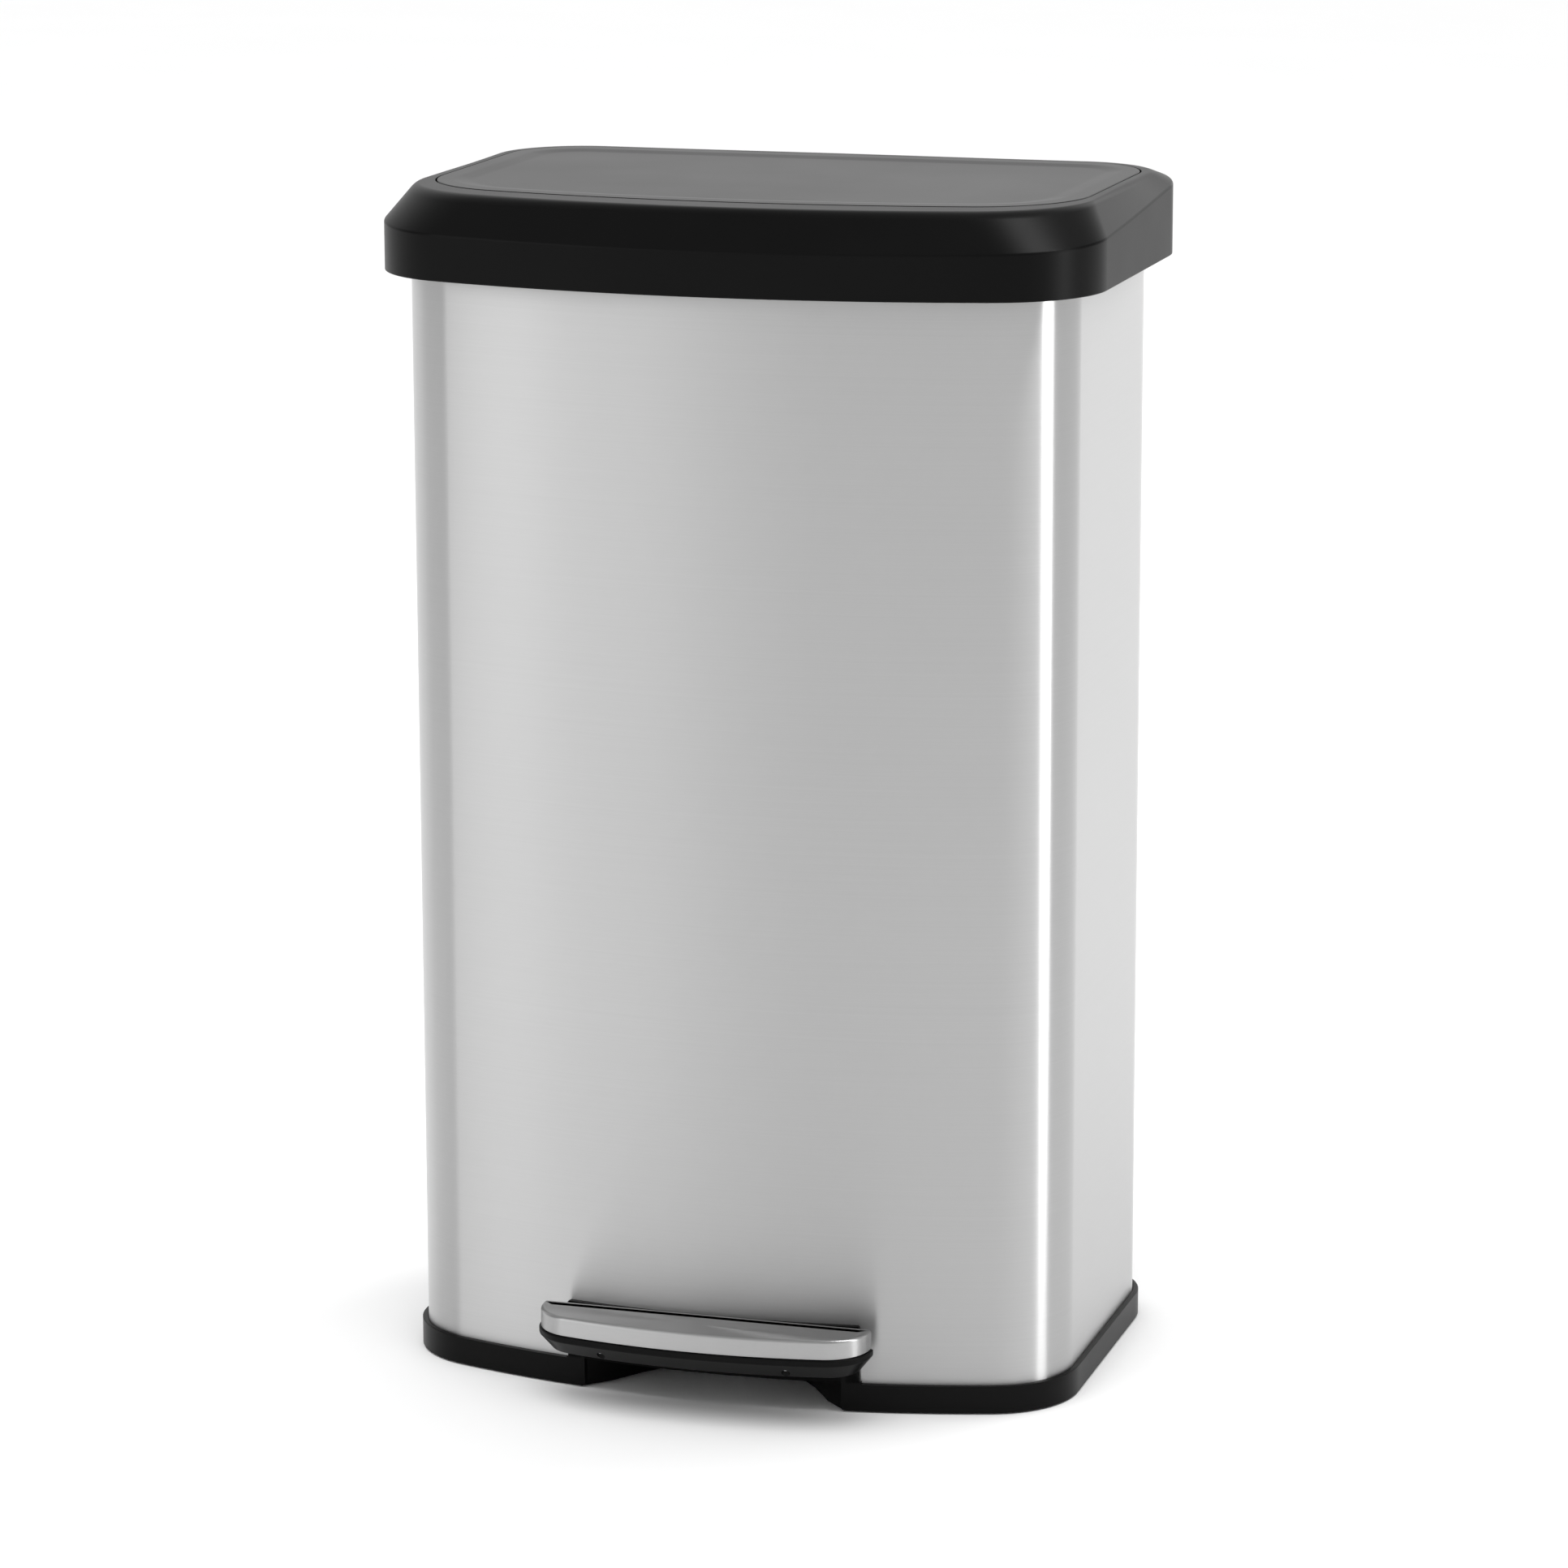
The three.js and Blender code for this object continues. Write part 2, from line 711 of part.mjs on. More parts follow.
function lidBumpers() {
  const top = liner.bottom - gap;
  const bottom = top - bumper.height;
  for (const [side, sign] of sides) {
    const x = sign * bumper.x;
    const shape = rodAlongZ(bumper.radius, x, bumper.y, bottom, top, roundSteps.small);
    add("lid_bumper_" + side, shape, rubber);
  }
}

// Hinge.

const housingScrews = [-80, 80].flatMap((x) => [[x, 569], [x, 581]]);

function housingHoles(from, to) {
  return housingScrews.map(([x, z]) => {
    const bore = new THREE.CylinderGeometry(panScrew.bore, panScrew.bore, to - from, roundSteps.screw);
    return bore.translate(x, (from + to) / 2, z);
  });
}

function hingeHousing() {
  const front = shell.plan.rear + gap;
  const rear = hinge.housingRear;
  const half = hinge.housingHalf;
  const section = new THREE.Shape();
  section.moveTo(front, hinge.housingBottom);
  section.lineTo(rear - 7, hinge.housingBottom);
  section.quadraticCurveTo(rear, hinge.housingBottom + 4, rear, hinge.housingBottom + 16);
  section.lineTo(rear, hinge.housingTop);
  section.lineTo(front, hinge.housingTop);
  const body = extrudeX(section, -half, half, 5);
  const eyes = sides.flatMap(([, sign]) => {
    const near = hinge.lugInner - hinge.eyeGap;
    const far = hinge.lugOuter + hinge.eyeGap;
    const places = [[near - hinge.eyeWidth, near], [far, far + hinge.eyeWidth]];
    return places.map(([from, to]) => extrudeX(eyeShape(), ...span(sign, from, to)));
  });
  const bore = rodAlongX(hinge.bore, -90, 90, hinge.y, hinge.z);
  return build([body, ...eyes], [bore, ...housingHoles(front - 1, rear + 1)]);
}

function eyeShape() {
  const foot = hinge.housingTop - 2;
  const shape = new THREE.Shape();
  shape.moveTo(hinge.y - hinge.knuckle, foot);
  shape.lineTo(hinge.y + hinge.knuckle, foot);
  shape.lineTo(hinge.y + hinge.knuckle, hinge.z);
  shape.absarc(hinge.y, hinge.z, hinge.knuckle, 0, Math.PI, false);
  return shape;
}

function hingePins() {
  const reach = hinge.eyeGap + hinge.eyeWidth;
  for (const [side, sign] of sides) {
    const near = hinge.lugInner - reach - 0.5;
    const far = hinge.lugOuter + reach + gap;
    const pin = rodAlongX(hinge.pin, ...span(sign, near, far + hinge.headLength), hinge.y, hinge.z);
    const headEnds = span(sign, far, far + hinge.headLength);
    const head = rodAlongX(hinge.head, ...headEnds, hinge.y, hinge.z);
    add("hinge_pin_" + side, build([pin, head]), zincSteel);
  }
  housingScrews.forEach(([x, z], i) => {
    const shape = screwShape(panScrew, screwLength.housing).rotateX(-Math.PI / 2);
    add("housing_screw_" + (i + 1), shape.translate(x, hinge.housingRear + gap, z), zincSteel);
  });
  const { half, front, rear, bottom, top } = backing;
  const plate = block([-half, half], [front, rear], [bottom, top]);
  add("hinge_backing_plate", build([plate], housingHoles(front - 1, rear + 1)), zincSteel);
}

// Pedal, lever and lift rod.

// A plan drawn in at the front and ends only, so that its rear stays where it is.
function drawIn(plan, front, ends) {
  return {
    ...plan,
    front: plan.front + front,
    halfWidth: plan.halfWidth - ends,
    bow: plan.bow - front,
    frontCorner: plan.frontCorner - front,
  };
}

function pedalCover() {
  const inner = outset(pedal.plan, -pedal.steel);
  return stack(
    level(inner, pedal.top - pedal.steel),
    level(inner, pedal.bandBottom),
    level(pedal.plan, pedal.bandBottom),
    level(pedal.plan, pedal.top - pedal.round),
    level(outset(pedal.plan, -pedal.round * 0.3), pedal.top - pedal.round * 0.3),
    level(outset(pedal.plan, -pedal.round), pedal.top),
  );
}

function pedalBase() {
  const core = outset(pedal.plan, -pedal.steel - gap);
  const lip = drawIn(pedal.plan, -pedal.lip, -pedal.lip);
  const lipTop = pedal.bandBottom - gap;
  const body = stack(
    level(drawIn(pedal.plan, pedal.undercut, pedal.endCut), pedal.bottom),
    level(lip, lipTop - pedal.lipDrop),
    level(lip, lipTop),
    level(core, lipTop),
    level(core, pedal.top - pedal.steel - gap),
  );
  const rear = pedal.plan.rear + 5;
  const pocket = block(
    [-pedalPocket.half, pedalPocket.half],
    [pedalPocket.front, rear],
    [pedalPocket.floor, pedalPocket.roof],
  );
  const { y, recess, seat, boreTop } = pedalScrew;
  const recesses = sides.flatMap(([, sign]) => [
    rodAlongZ(recess, sign * pedalScrew.x, y, pedal.bottom - 1, seat),
    rodAlongZ(smallScrew.bore, sign * pedalScrew.x, y, pedal.bottom, boreTop, roundSteps.bore),
  ]);
  return build([body], [pocket, ...recesses]);
}

function pedalScrews() {
  for (const [side, sign] of sides) {
    const shape = screwShape(thinScrew, screwLength.pedal).rotateX(Math.PI);
    shape.translate(sign * pedalScrew.x, pedalScrew.y, pedalScrew.seat - gap);
    add("pedal_screw_" + side, shape, zincSteel);
  }
}

function pedalLever() {
  const bottom = lever.top - lever.plate;
  const web = block([-lever.half, lever.half], [lever.stepFront, lever.rear], [bottom, lever.top]);
  // The front of the plate steps up to clear the sloping underside of the pedal.
  const crossBottom = lever.crossTop - lever.plate;
  const crossHeights = [crossBottom, lever.crossTop];
  const crossY = [lever.front, lever.crossRear];
  const cross = block([-lever.crossHalf, lever.crossHalf], crossY, crossHeights);
  const tongue = block([-lever.half, lever.half], [lever.crossRear - 1, lever.stepRear], crossHeights);
  const stepY = [lever.stepFront, lever.stepRear];
  const step = block([-lever.half, lever.half], stepY, [bottom, lever.crossTop]);
  const cheek = new THREE.Shape();
  cheek.moveTo(-98, bottom + weld);
  cheek.lineTo(-84, lever.flangeBottom + 3);
  cheek.lineTo(-60, lever.flangeBottom);
  cheek.lineTo(shoe.rear - 2, lever.flangeBottom);
  cheek.lineTo(shoe.rear - 2, bottom - 1);
  cheek.lineTo(lever.rear, bottom + weld);
  const inner = lever.half - lever.plate;
  const cheeks = [extrudeX(cheek, -lever.half, -inner), extrudeX(cheek, inner, lever.half)];
  const holes = sides.map(([, sign]) => {
    const x = sign * pedalScrew.x;
    const heights = [crossBottom - 1, lever.crossTop + 1];
    return rodAlongZ(pedalScrew.bore, x, pedalScrew.y, ...heights, roundSteps.bore);
  });
  const across = [-lever.half - 1, lever.half + 1];
  const axleBore = rodAlongX(axle.bushBore, ...across, travel.axleY, travel.axleZ);
  const pinBore = rodAlongX(pivotPin.bore, ...across, travel.rodY, travel.axleZ);
  return build([web, step, tongue, cross, ...cheeks], [...holes, axleBore, pinBore]);
}

function leverBushes() {
  for (const [side, sign] of sides) {
    const ends = span(sign, lever.half - lever.plate - axle.bushProud, lever.half + axle.bushProud);
    const sleeve = rodAlongX(axle.bush, ...ends, travel.axleY, travel.axleZ);
    const bore = rodAlongX(axle.bore, ends[0] - 1, ends[1] + 1, travel.axleY, travel.axleZ);
    add("lever_bush_" + side, build([sleeve], [bore]), whiteNylon);
  }
  const reach = lever.half + gap;
  const far = reach + pivotPin.headLength;
  const pin = rodAlongX(pivotPin.radius, -reach - 1, far, travel.rodY, travel.axleZ);
  const head = rodAlongX(pivotPin.head, reach, far, travel.rodY, travel.axleZ);
  add("lever_pin", build([pin, head]), zincSteel);
}

function liftRod() {
  add("lift_rod", rodAlongZ(rod.radius, 0, travel.rodY, rod.bottom, rod.top), zincSteel);
  const shoeBody = block([-shoe.half, shoe.half], [shoe.front, shoe.rear], [shoe.bottom, shoe.top]);
  const slotFrom = travel.rodY - shoe.play;
  const slotTo = travel.rodY + shoe.play;
  const slot = slotShape(slotFrom, travel.axleZ, slotTo, travel.axleZ, shoe.slot);
  const socket = rodAlongZ(rod.radius + gap, 0, travel.rodY, rod.bottom - gap, shoe.top + 1);
  add("rod_shoe", build([shoeBody], [extrudeX(slot, -20, 20), socket]), whiteNylon);
  const eyeBody = block(eye.x, [travel.rodY - eye.half, travel.rodY + eye.half], [eye.bottom, eye.top]);
  const topSocket = rodAlongZ(rod.radius + gap, 0, travel.rodY, eye.bottom - 1, rod.top + gap);
  const pinBore = rodAlongX(pivotPin.bore, -20, 20, travel.rodY, hinge.z);
  add("rod_eye", build([eyeBody], [topSocket, pinBore]), zincSteel);
  const headFrom = crank.inner + crank.thickness + 0.6;
  const pin = rodAlongX(pivotPin.radius, eye.x[0] - 1, headFrom + weld, travel.rodY, hinge.z);
  const head = rodAlongX(pivotPin.head, headFrom, headFrom + pivotPin.headLength, travel.rodY, hinge.z);
  add("crank_pin", build([pin, head]), zincSteel);
}

function rodGuides() {
  const rear = shell.plan.rear - shell.wall - gap;
  for (const [name, [bottom, top]] of Object.entries(guide.levels)) {
    const body = block([-guide.half, guide.half], [guide.front, rear], [bottom, top]);
    const bore = rodAlongZ(guide.bore, 0, travel.rodY, bottom - 1, top + 1);
    add("rod_guide_" + name, build([body], [bore]), greyPlastic);
  }
}

function softCloseDamper() {
  const { x, y, radius, bore, bottom, top } = damper;
  const shape = turned([
    [bore, bottom],
    [radius, bottom],
    [radius, top],
    [0, top],
    [0, top - damper.cap],
    [bore, top - damper.cap],
    [bore, bottom],
  ]);
  add("damper_cylinder", shape.translate(x, y, 0), blackPlastic);
  const linkTop = damper.linkBottom + damper.link;
  const headBottom = bottom + damper.headLength;
  const stem = rodAlongZ(damper.stem, x, y, linkTop - weld, headBottom + weld);
  const head = rodAlongZ(damper.head, x, y, headBottom, headBottom + damper.headLength);
  const link = block([-6, x + 6], [y - 5, y + 7], [damper.linkBottom, linkTop]);
  const clampBore = rodAlongZ(rod.radius + gap, 0, travel.rodY, damper.linkBottom - 1, linkTop + 1);
  add("damper_piston", build([link, stem, head], [clampBore]), zincSteel);
  const rear = shell.plan.rear - shell.wall - gap;
  const half = damperClip.half;
  const strap = block([x - half, x + half], [y - 10, rear], [damperClip.bottom, damperClip.top]);
  const holeEnds = [damperClip.bottom - 1, damperClip.top + 1];
  const hole = rodAlongZ(radius + gap, x, y, ...holeEnds, roundSteps.small);
  add("damper_clip", build([strap], [hole]), greyPlastic);
}

// Assembly.

add("base_ring", baseRing(), blackPlastic);
footPads();
bearings();
add("body_shell", bodyShell(), brushedSteel);
add("top_collar", topCollar(), blackPlastic);
add("inner_floor", mechanismCover(), greyPlastic);
floorScrews();
add("inner_bucket", innerBucket(), greyPlastic);
add("lid_frame", lidFrame(), blackPlastic);
add("lid_panel", lidPanel(), panelPlastic);
add("lid_liner", lidLiner(), blackPlastic);
add("lid_crank", lidCrank(), zincSteel);
crankScrews();
lidBumpers();
add("hinge_housing", hingeHousing(), blackPlastic);
hingePins();
add("pedal_cover", pedalCover(), brushedSteel);
add("pedal_base", pedalBase(), blackPlastic);
pedalScrews();
add("pedal_lever", pedalLever(), zincSteel);
leverBushes();
liftRod();
rodGuides();
softCloseDamper();

export default bin;
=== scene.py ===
import json
import math

import bmesh
import bpy
from mathutils import Matrix, Vector


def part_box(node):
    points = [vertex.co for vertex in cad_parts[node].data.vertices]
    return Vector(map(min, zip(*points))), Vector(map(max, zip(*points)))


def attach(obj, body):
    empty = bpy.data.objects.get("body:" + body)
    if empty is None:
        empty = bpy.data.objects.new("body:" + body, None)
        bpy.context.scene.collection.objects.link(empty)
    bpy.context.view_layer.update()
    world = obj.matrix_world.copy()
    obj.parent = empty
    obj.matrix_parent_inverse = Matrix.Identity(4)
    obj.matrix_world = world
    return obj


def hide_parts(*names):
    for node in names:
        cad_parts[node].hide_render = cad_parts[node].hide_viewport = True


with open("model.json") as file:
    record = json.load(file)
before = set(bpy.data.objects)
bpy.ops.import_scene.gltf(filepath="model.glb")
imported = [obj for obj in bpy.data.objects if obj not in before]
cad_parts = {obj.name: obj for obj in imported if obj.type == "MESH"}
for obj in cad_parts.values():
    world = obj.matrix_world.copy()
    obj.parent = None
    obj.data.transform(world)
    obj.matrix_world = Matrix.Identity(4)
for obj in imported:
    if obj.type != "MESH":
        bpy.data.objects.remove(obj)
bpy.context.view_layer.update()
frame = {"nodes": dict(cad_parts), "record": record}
print("frame loaded:", len(frame["nodes"]), "pieces")

mm = 0.001
shellLow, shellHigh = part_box("body_shell")
shellMiddleY = (shellLow.y + shellHigh.y) / 2  # plans are drawn in millimetres about the shell's middle
sharpAngle = math.radians(33)
fitGap = 0.35  # millimetres between pieces that meet

# Plans are seen from above: a bowed front, two corner radii and a straight rear.
shellPlan = {
    "halfWidth": 185, "front": -122.5, "rear": 122.5, "bow": 507, "frontCorner": 48, "rearCorner": 41,
}
fineSteps = {"bow": 64, "frontCorner": 24, "side": 8, "rearCorner": 20, "rear": 24}


# Shape helpers

def outset(plan, by):
    return {
        "halfWidth": plan["halfWidth"] + by,
        "front": plan["front"] - by,
        "rear": plan["rear"] + by,
        "bow": plan["bow"] + by,
        "frontCorner": plan["frontCorner"] + by,
        "rearCorner": max(plan["rearCorner"] + by, 1),
    }


def planKey(plan):
    # centres of the arcs, and the angle where the bow meets its corner
    bowY = plan["front"] + plan["bow"]
    frontX = plan["halfWidth"] - plan["frontCorner"]
    frontY = bowY - math.sqrt((plan["bow"] - plan["frontCorner"]) ** 2 - frontX ** 2)
    meet = math.atan2(frontY - bowY, frontX)
    rearX = plan["halfWidth"] - plan["rearCorner"]
    rearY = plan["rear"] - plan["rearCorner"]
    return bowY, frontX, frontY, meet, rearX, rearY


def arc(x, y, radius, start, end, count):
    turns = [start + (end - start) * i / count for i in range(count)]
    return [Vector((x + radius * math.cos(t), y + radius * math.sin(t), 0)) for t in turns]


def line(x0, y0, x1, y1, count):
    return [Vector((x0 + (x1 - x0) * i / count, y0 + (y1 - y0) * i / count, 0)) for i in range(count)]


def planPoints(plan):
    bowY, frontX, frontY, meet, rearX, rearY = planKey(plan)
    half, rear, quarter = plan["halfWidth"], plan["rear"], math.pi / 2
    steps = fineSteps
    return (
        arc(0, bowY, plan["bow"], -math.pi - meet, meet, steps["bow"])
        + arc(frontX, frontY, plan["frontCorner"], meet, 0, steps["frontCorner"])
        + line(half, frontY, half, rearY, steps["side"])
        + arc(rearX, rearY, plan["rearCorner"], 0, quarter, steps["rearCorner"])
        + line(rearX, rear, -rearX, rear, steps["rear"])
        + arc(-rearX, rearY, plan["rearCorner"], quarter, math.pi, steps["rearCorner"])
        + line(-half, rearY, -half, frontY, steps["side"])
        + arc(-frontX, frontY, plan["frontCorner"], math.pi, math.pi - meet, steps["frontCorner"])
    )


def level(plan, height):
    points = planPoints(plan)
    return [Vector((p.x, p.y, height(p) if callable(height) else height)) for p in points]


def circle(x, y, radius, z, count=40):
    turns = [2 * math.pi * i / count for i in range(count)]
    return [Vector((x + radius * math.cos(t), y + radius * math.sin(t), z)) for t in turns]


def roundCorner(before, corner, after, radius, count):
    if radius <= 0:
        return [corner.copy()]
    toBefore, toAfter = before - corner, after - corner
    angle = toBefore.angle(toAfter, math.pi)
    room = 0.46 * min(toBefore.length, toAfter.length)
    reach = min(max(radius / max(math.tan(angle / 2), 1e-6), 0.05), room)
    start = corner + toBefore.normalized() * reach
    end = corner + toAfter.normalized() * reach
    if angle > math.radians(177):
        return [start.lerp(end, i / count) for i in range(count + 1)]
    middle = toBefore.normalized() + toAfter.normalized()
    centre = corner + middle.normalized() * (reach / math.cos(angle / 2))
    arcRadius = reach * math.tan(angle / 2)
    first, last = (start - centre).normalized(), (end - centre).normalized()
    return [centre + first.slerp(last, i / count) * arcRadius for i in range(count + 1)]


def roundedRows(rows, radii, closed, count=5):
    # rows are loops of equal length; each row with a radius becomes an arc across the section
    made = None
    for index in range(len(rows[0])):
        section = []
        for r, row in enumerate(rows):
            isEnd = not closed and r in (0, len(rows) - 1)
            before, after = rows[r - 1][index], rows[(r + 1) % len(rows)][index]
            section += roundCorner(before, row[index], after, 0 if isEnd else radii[r], count)
        made = made or [[] for _ in section]
        for row, point in zip(made, section):
            row.append(point)
    return made


def toFrame(bm):
    for v in bm.verts:
        v.co = Vector((v.co.x * mm, v.co.y * mm + shellMiddleY, v.co.z * mm))


def loft(bm, rows, closed):
    verts = [[bm.verts.new(p) for p in row] for row in rows]
    around = len(rows[0])
    pairs = list(zip(verts, verts[1:] + verts[:1]))
    for low, high in pairs if closed else pairs[:-1]:
        for i in range(around):
            j = (i + 1) % around
            bm.faces.new((low[i], low[j], high[j], high[i]))
    if not closed:
        bm.faces.new(list(reversed(verts[0])))
        bm.faces.new(verts[-1])


def addRing(bm, rows, radii, count=5):
    loft(bm, roundedRows(rows, radii, True, count), True)


def addStack(bm, rows, radii, count=5):
    loft(bm, roundedRows(rows, radii, False, count), False)


def roundPolygon(points, radii, count=5):
    flat = [Vector((x, y, 0)) for x, y in points]
    radii = radii if isinstance(radii, (list, tuple)) else [radii] * len(flat)
    made = []
    for i, corner in enumerate(flat):
        made += roundCorner(flat[i - 1], corner, flat[(i + 1) % len(flat)], radii[i], count)
    return [(p.x, p.y) for p in made]


axisPlanes = {  # where a flat drawing's two directions and its thickness point
    "x": lambda u, v, w: Vector((w, u, v)),
    "y": lambda u, v, w: Vector((u, w, v)),
    "z": lambda u, v, w: Vector((u, v, w)),
}


def addPrism(bm, points, axis, start, end, bevel=0, segments=3):
    # a flat drawing run along an axis, with its two rims rounded
    part = bmesh.new()
    place = axisPlanes[axis]
    verts = [[part.verts.new(place(u, v, w)) for u, v in points] for w in (start, end)]
    caps = [part.faces.new(row) for row in verts]
    for i in range(len(points)):
        j = (i + 1) % len(points)
        part.faces.new((verts[0][i], verts[0][j], verts[1][j], verts[1][i]))
    if bevel:
        rims = [e for face in caps for e in face.edges]
        bmesh.ops.bevel(part, geom=rims, offset=bevel, segments=segments, profile=0.5, affect="EDGES")
    bmesh.ops.recalc_face_normals(part, faces=part.faces)
    mergeInto(bm, part)


def mergeInto(bm, part):
    mesh = bpy.data.meshes.new("part")
    part.to_mesh(mesh)
    part.free()
    bm.from_mesh(mesh)
    bpy.data.meshes.remove(mesh)


def bothSides(x):
    return (-x, x)


def rectangle(x, y):
    return [(x[0], y[0]), (x[1], y[0]), (x[1], y[1]), (x[0], y[1])]


def addBox(bm, x, y, z):
    addPrism(bm, rectangle(x, y), "z", z[0], z[1])


def objectFrom(bm, name, weld=True):
    if weld:
        bmesh.ops.remove_doubles(bm, verts=bm.verts, dist=1e-5)
    toFrame(bm)
    mesh = bpy.data.meshes.new(name)
    bm.to_mesh(mesh)
    bm.free()
    made = bpy.data.objects.new(name, mesh)
    bpy.context.scene.collection.objects.link(made)
    return made


def applied(obj):
    # the object with its modifiers made part of its mesh
    bpy.context.view_layer.update()
    evaluated = obj.evaluated_get(bpy.context.evaluated_depsgraph_get())
    mesh = bpy.data.meshes.new_from_object(evaluated)
    old = obj.data
    obj.modifiers.clear()
    obj.data = mesh
    mesh.name = obj.name
    bpy.data.meshes.remove(old)
    return obj


def cutAway(obj, fill):
    # fill draws the shapes to take away, in millimetres
    bm = bmesh.new()
    fill(bm)
    cutter = objectFrom(bm, obj.name + "Cutter")
    cut = obj.modifiers.new("cut", "BOOLEAN")
    cut.operation = "DIFFERENCE"
    cut.solver = "EXACT"
    cut.object = cutter
    applied(obj)
    bpy.data.objects.remove(cutter)
    return obj


def pieceFrom(fill):
    bm = bmesh.new()
    fill(bm)
    return objectFrom(bm, "part")


def joinedPieces(name, pieces):
    bm = bmesh.new()
    for piece in pieces:
        bm.from_mesh(piece.data)
        bpy.data.objects.remove(piece)
    mesh = bpy.data.meshes.new(name)
    bm.to_mesh(mesh)
    bm.free()
    made = bpy.data.objects.new(name, mesh)
    bpy.context.scene.collection.objects.link(made)
    return made


def finishPiece(obj, body, slotName, material, *nodes, smooth=True):
    mesh = obj.data
    mesh.materials.clear()
    mesh.materials.append(material)
    if smooth:
        mesh.shade_smooth()
        mesh.set_sharp_from_angle(angle=sharpAngle)
        even = obj.modifiers.new("evenShading", "WEIGHTED_NORMAL")
        even.keep_sharp = True
        even.weight = 80
        applied(obj)
    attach(obj, body)
    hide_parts(*nodes)
    return obj


# Node helpers

class Wire:
    # one output of a node, so that maths on it reads as a sum or a product
    def __init__(self, maker, socket):
        self.maker = maker
        self.socket = socket

    def maths(self, operation, first, second):
        return self.maker.add("ShaderNodeMath", {"operation": operation}, {0: first, 1: second})

    def __add__(self, other):
        return self.maths("ADD", self, other)

    def __mul__(self, other):
        return self.maths("MULTIPLY", self, other)


class NodeMaker:
    def __init__(self, tree):
        self.tree = tree
        tree.nodes.clear()

    def add(self, kind, settings=None, sockets=None, output=0):
        node = self.tree.nodes.new(kind)
        for name, value in (settings or {}).items():
            if name == "stops":
                setStops(node.color_ramp, value)
            else:
                setattr(node, name, value)
        for name, value in (sockets or {}).items():
            values = value if isinstance(value, list) else [value]
            for one in values:
                if isinstance(one, Wire):
                    self.tree.links.new(one.socket, node.inputs[name])
                else:
                    node.inputs[name].default_value = one
        return Wire(self, node.outputs[output]) if len(node.outputs) else None

    def mixColour(self, factor, first, second):
        return self.add("ShaderNodeMix", {"data_type": "RGBA"}, {0: factor, 6: first, 7: second}, output=2)

    def noise(self, vector, scale, detail=2, roughness=0.5):
        sockets = {"Vector": vector, "Scale": scale, "Detail": detail, "Roughness": roughness}
        return self.add("ShaderNodeTexNoise", None, sockets)

    def remap(self, value, fromLow, fromHigh, toLow, toHigh):
        return self.add("ShaderNodeMapRange", None, {0: value, 1: fromLow, 2: fromHigh, 3: toLow, 4: toHigh})

    def spreadRound(self, value, low, high, middle, spread):
        return self.remap(value, low, high, middle - spread, middle + spread)

    def bump(self, look, height):
        sockets = {"Strength": look["bump"], "Distance": look["depth"], "Height": height}
        return self.add("ShaderNodeBump", None, sockets)


def setStops(ramp, stops):
    while len(ramp.elements) < len(stops):
        ramp.elements.new(0.5)
    for element, (position, shade) in zip(ramp.elements, stops):
        element.position = position
        element.color = grey(shade)


def grey(shade):
    return (shade, shade, shade, 1)


def newMaterial(name, build, look):
    material = bpy.data.materials.new(name)
    material.use_nodes = True
    maker = NodeMaker(material.node_tree)
    place = maker.add("ShaderNodeTexCoord", output="Object")
    surface = build(maker, place, look)
    maker.add("ShaderNodeOutputMaterial", None, {"Surface": surface})
    return material


# Steel brushed along the horizontal: long faint streaks, and a highlight that spreads up and down.
def brushedSteel(maker, place, look):
    def streaks(stretch, detail):
        stretched = maker.add("ShaderNodeMapping", None, {"Vector": place, "Scale": stretch})
        return maker.noise(stretched, 1, detail, 0.6)

    fine = streaks(look["fineStretch"], 2)
    broad = streaks(look["broadStretch"], 3)
    cloud = maker.noise(place, look["cloudScale"], 3)
    brush = fine * 0.6 + broad * 0.4
    tone = maker.remap(brush * 0.7 + cloud * 0.3, 0.35, 0.65, 0, 1)
    colour = maker.mixColour(tone, look["dark"], look["light"])
    roughness = maker.spreadRound(brush, 0.3, 0.7, look["roughness"], look["spread"])
    bump = maker.bump(look, brush)
    return maker.add("ShaderNodeBsdfPrincipled", None, {
        "Base Color": colour, "Metallic": 1.0, "Roughness": roughness, "Normal": bump,
        "Anisotropic": look["anisotropy"], "Anisotropic Rotation": look["turn"],
    })


# Moulded plastic: a fine spark-eroded grain, and slight gloss changes from the flow of the melt.
def mouldedPlastic(maker, place, look):
    grain = maker.noise(place, look["grainScale"], 2, 0.55)
    pits = maker.add("ShaderNodeTexVoronoi", None, {"Vector": place, "Scale": look["grainScale"] * 0.6})
    flow = maker.noise(place, look["flowScale"], 3, 0.6)
    tone = maker.remap(flow * 0.7 + grain * 0.3, 0.35, 0.65, 0, 1)
    colour = maker.mixColour(tone, look["dark"], look["light"])
    gloss = maker.spreadRound(flow * 0.6 + grain * 0.4, 0.35, 0.65, look["roughness"], look["spread"])
    height = grain * 0.6 + pits * 0.4
    bump = maker.bump(look, height)
    return maker.add("ShaderNodeBsdfPrincipled", None, {
        "Base Color": colour, "Roughness": gloss, "Normal": bump, "Specular IOR Level": look["specular"],
    })


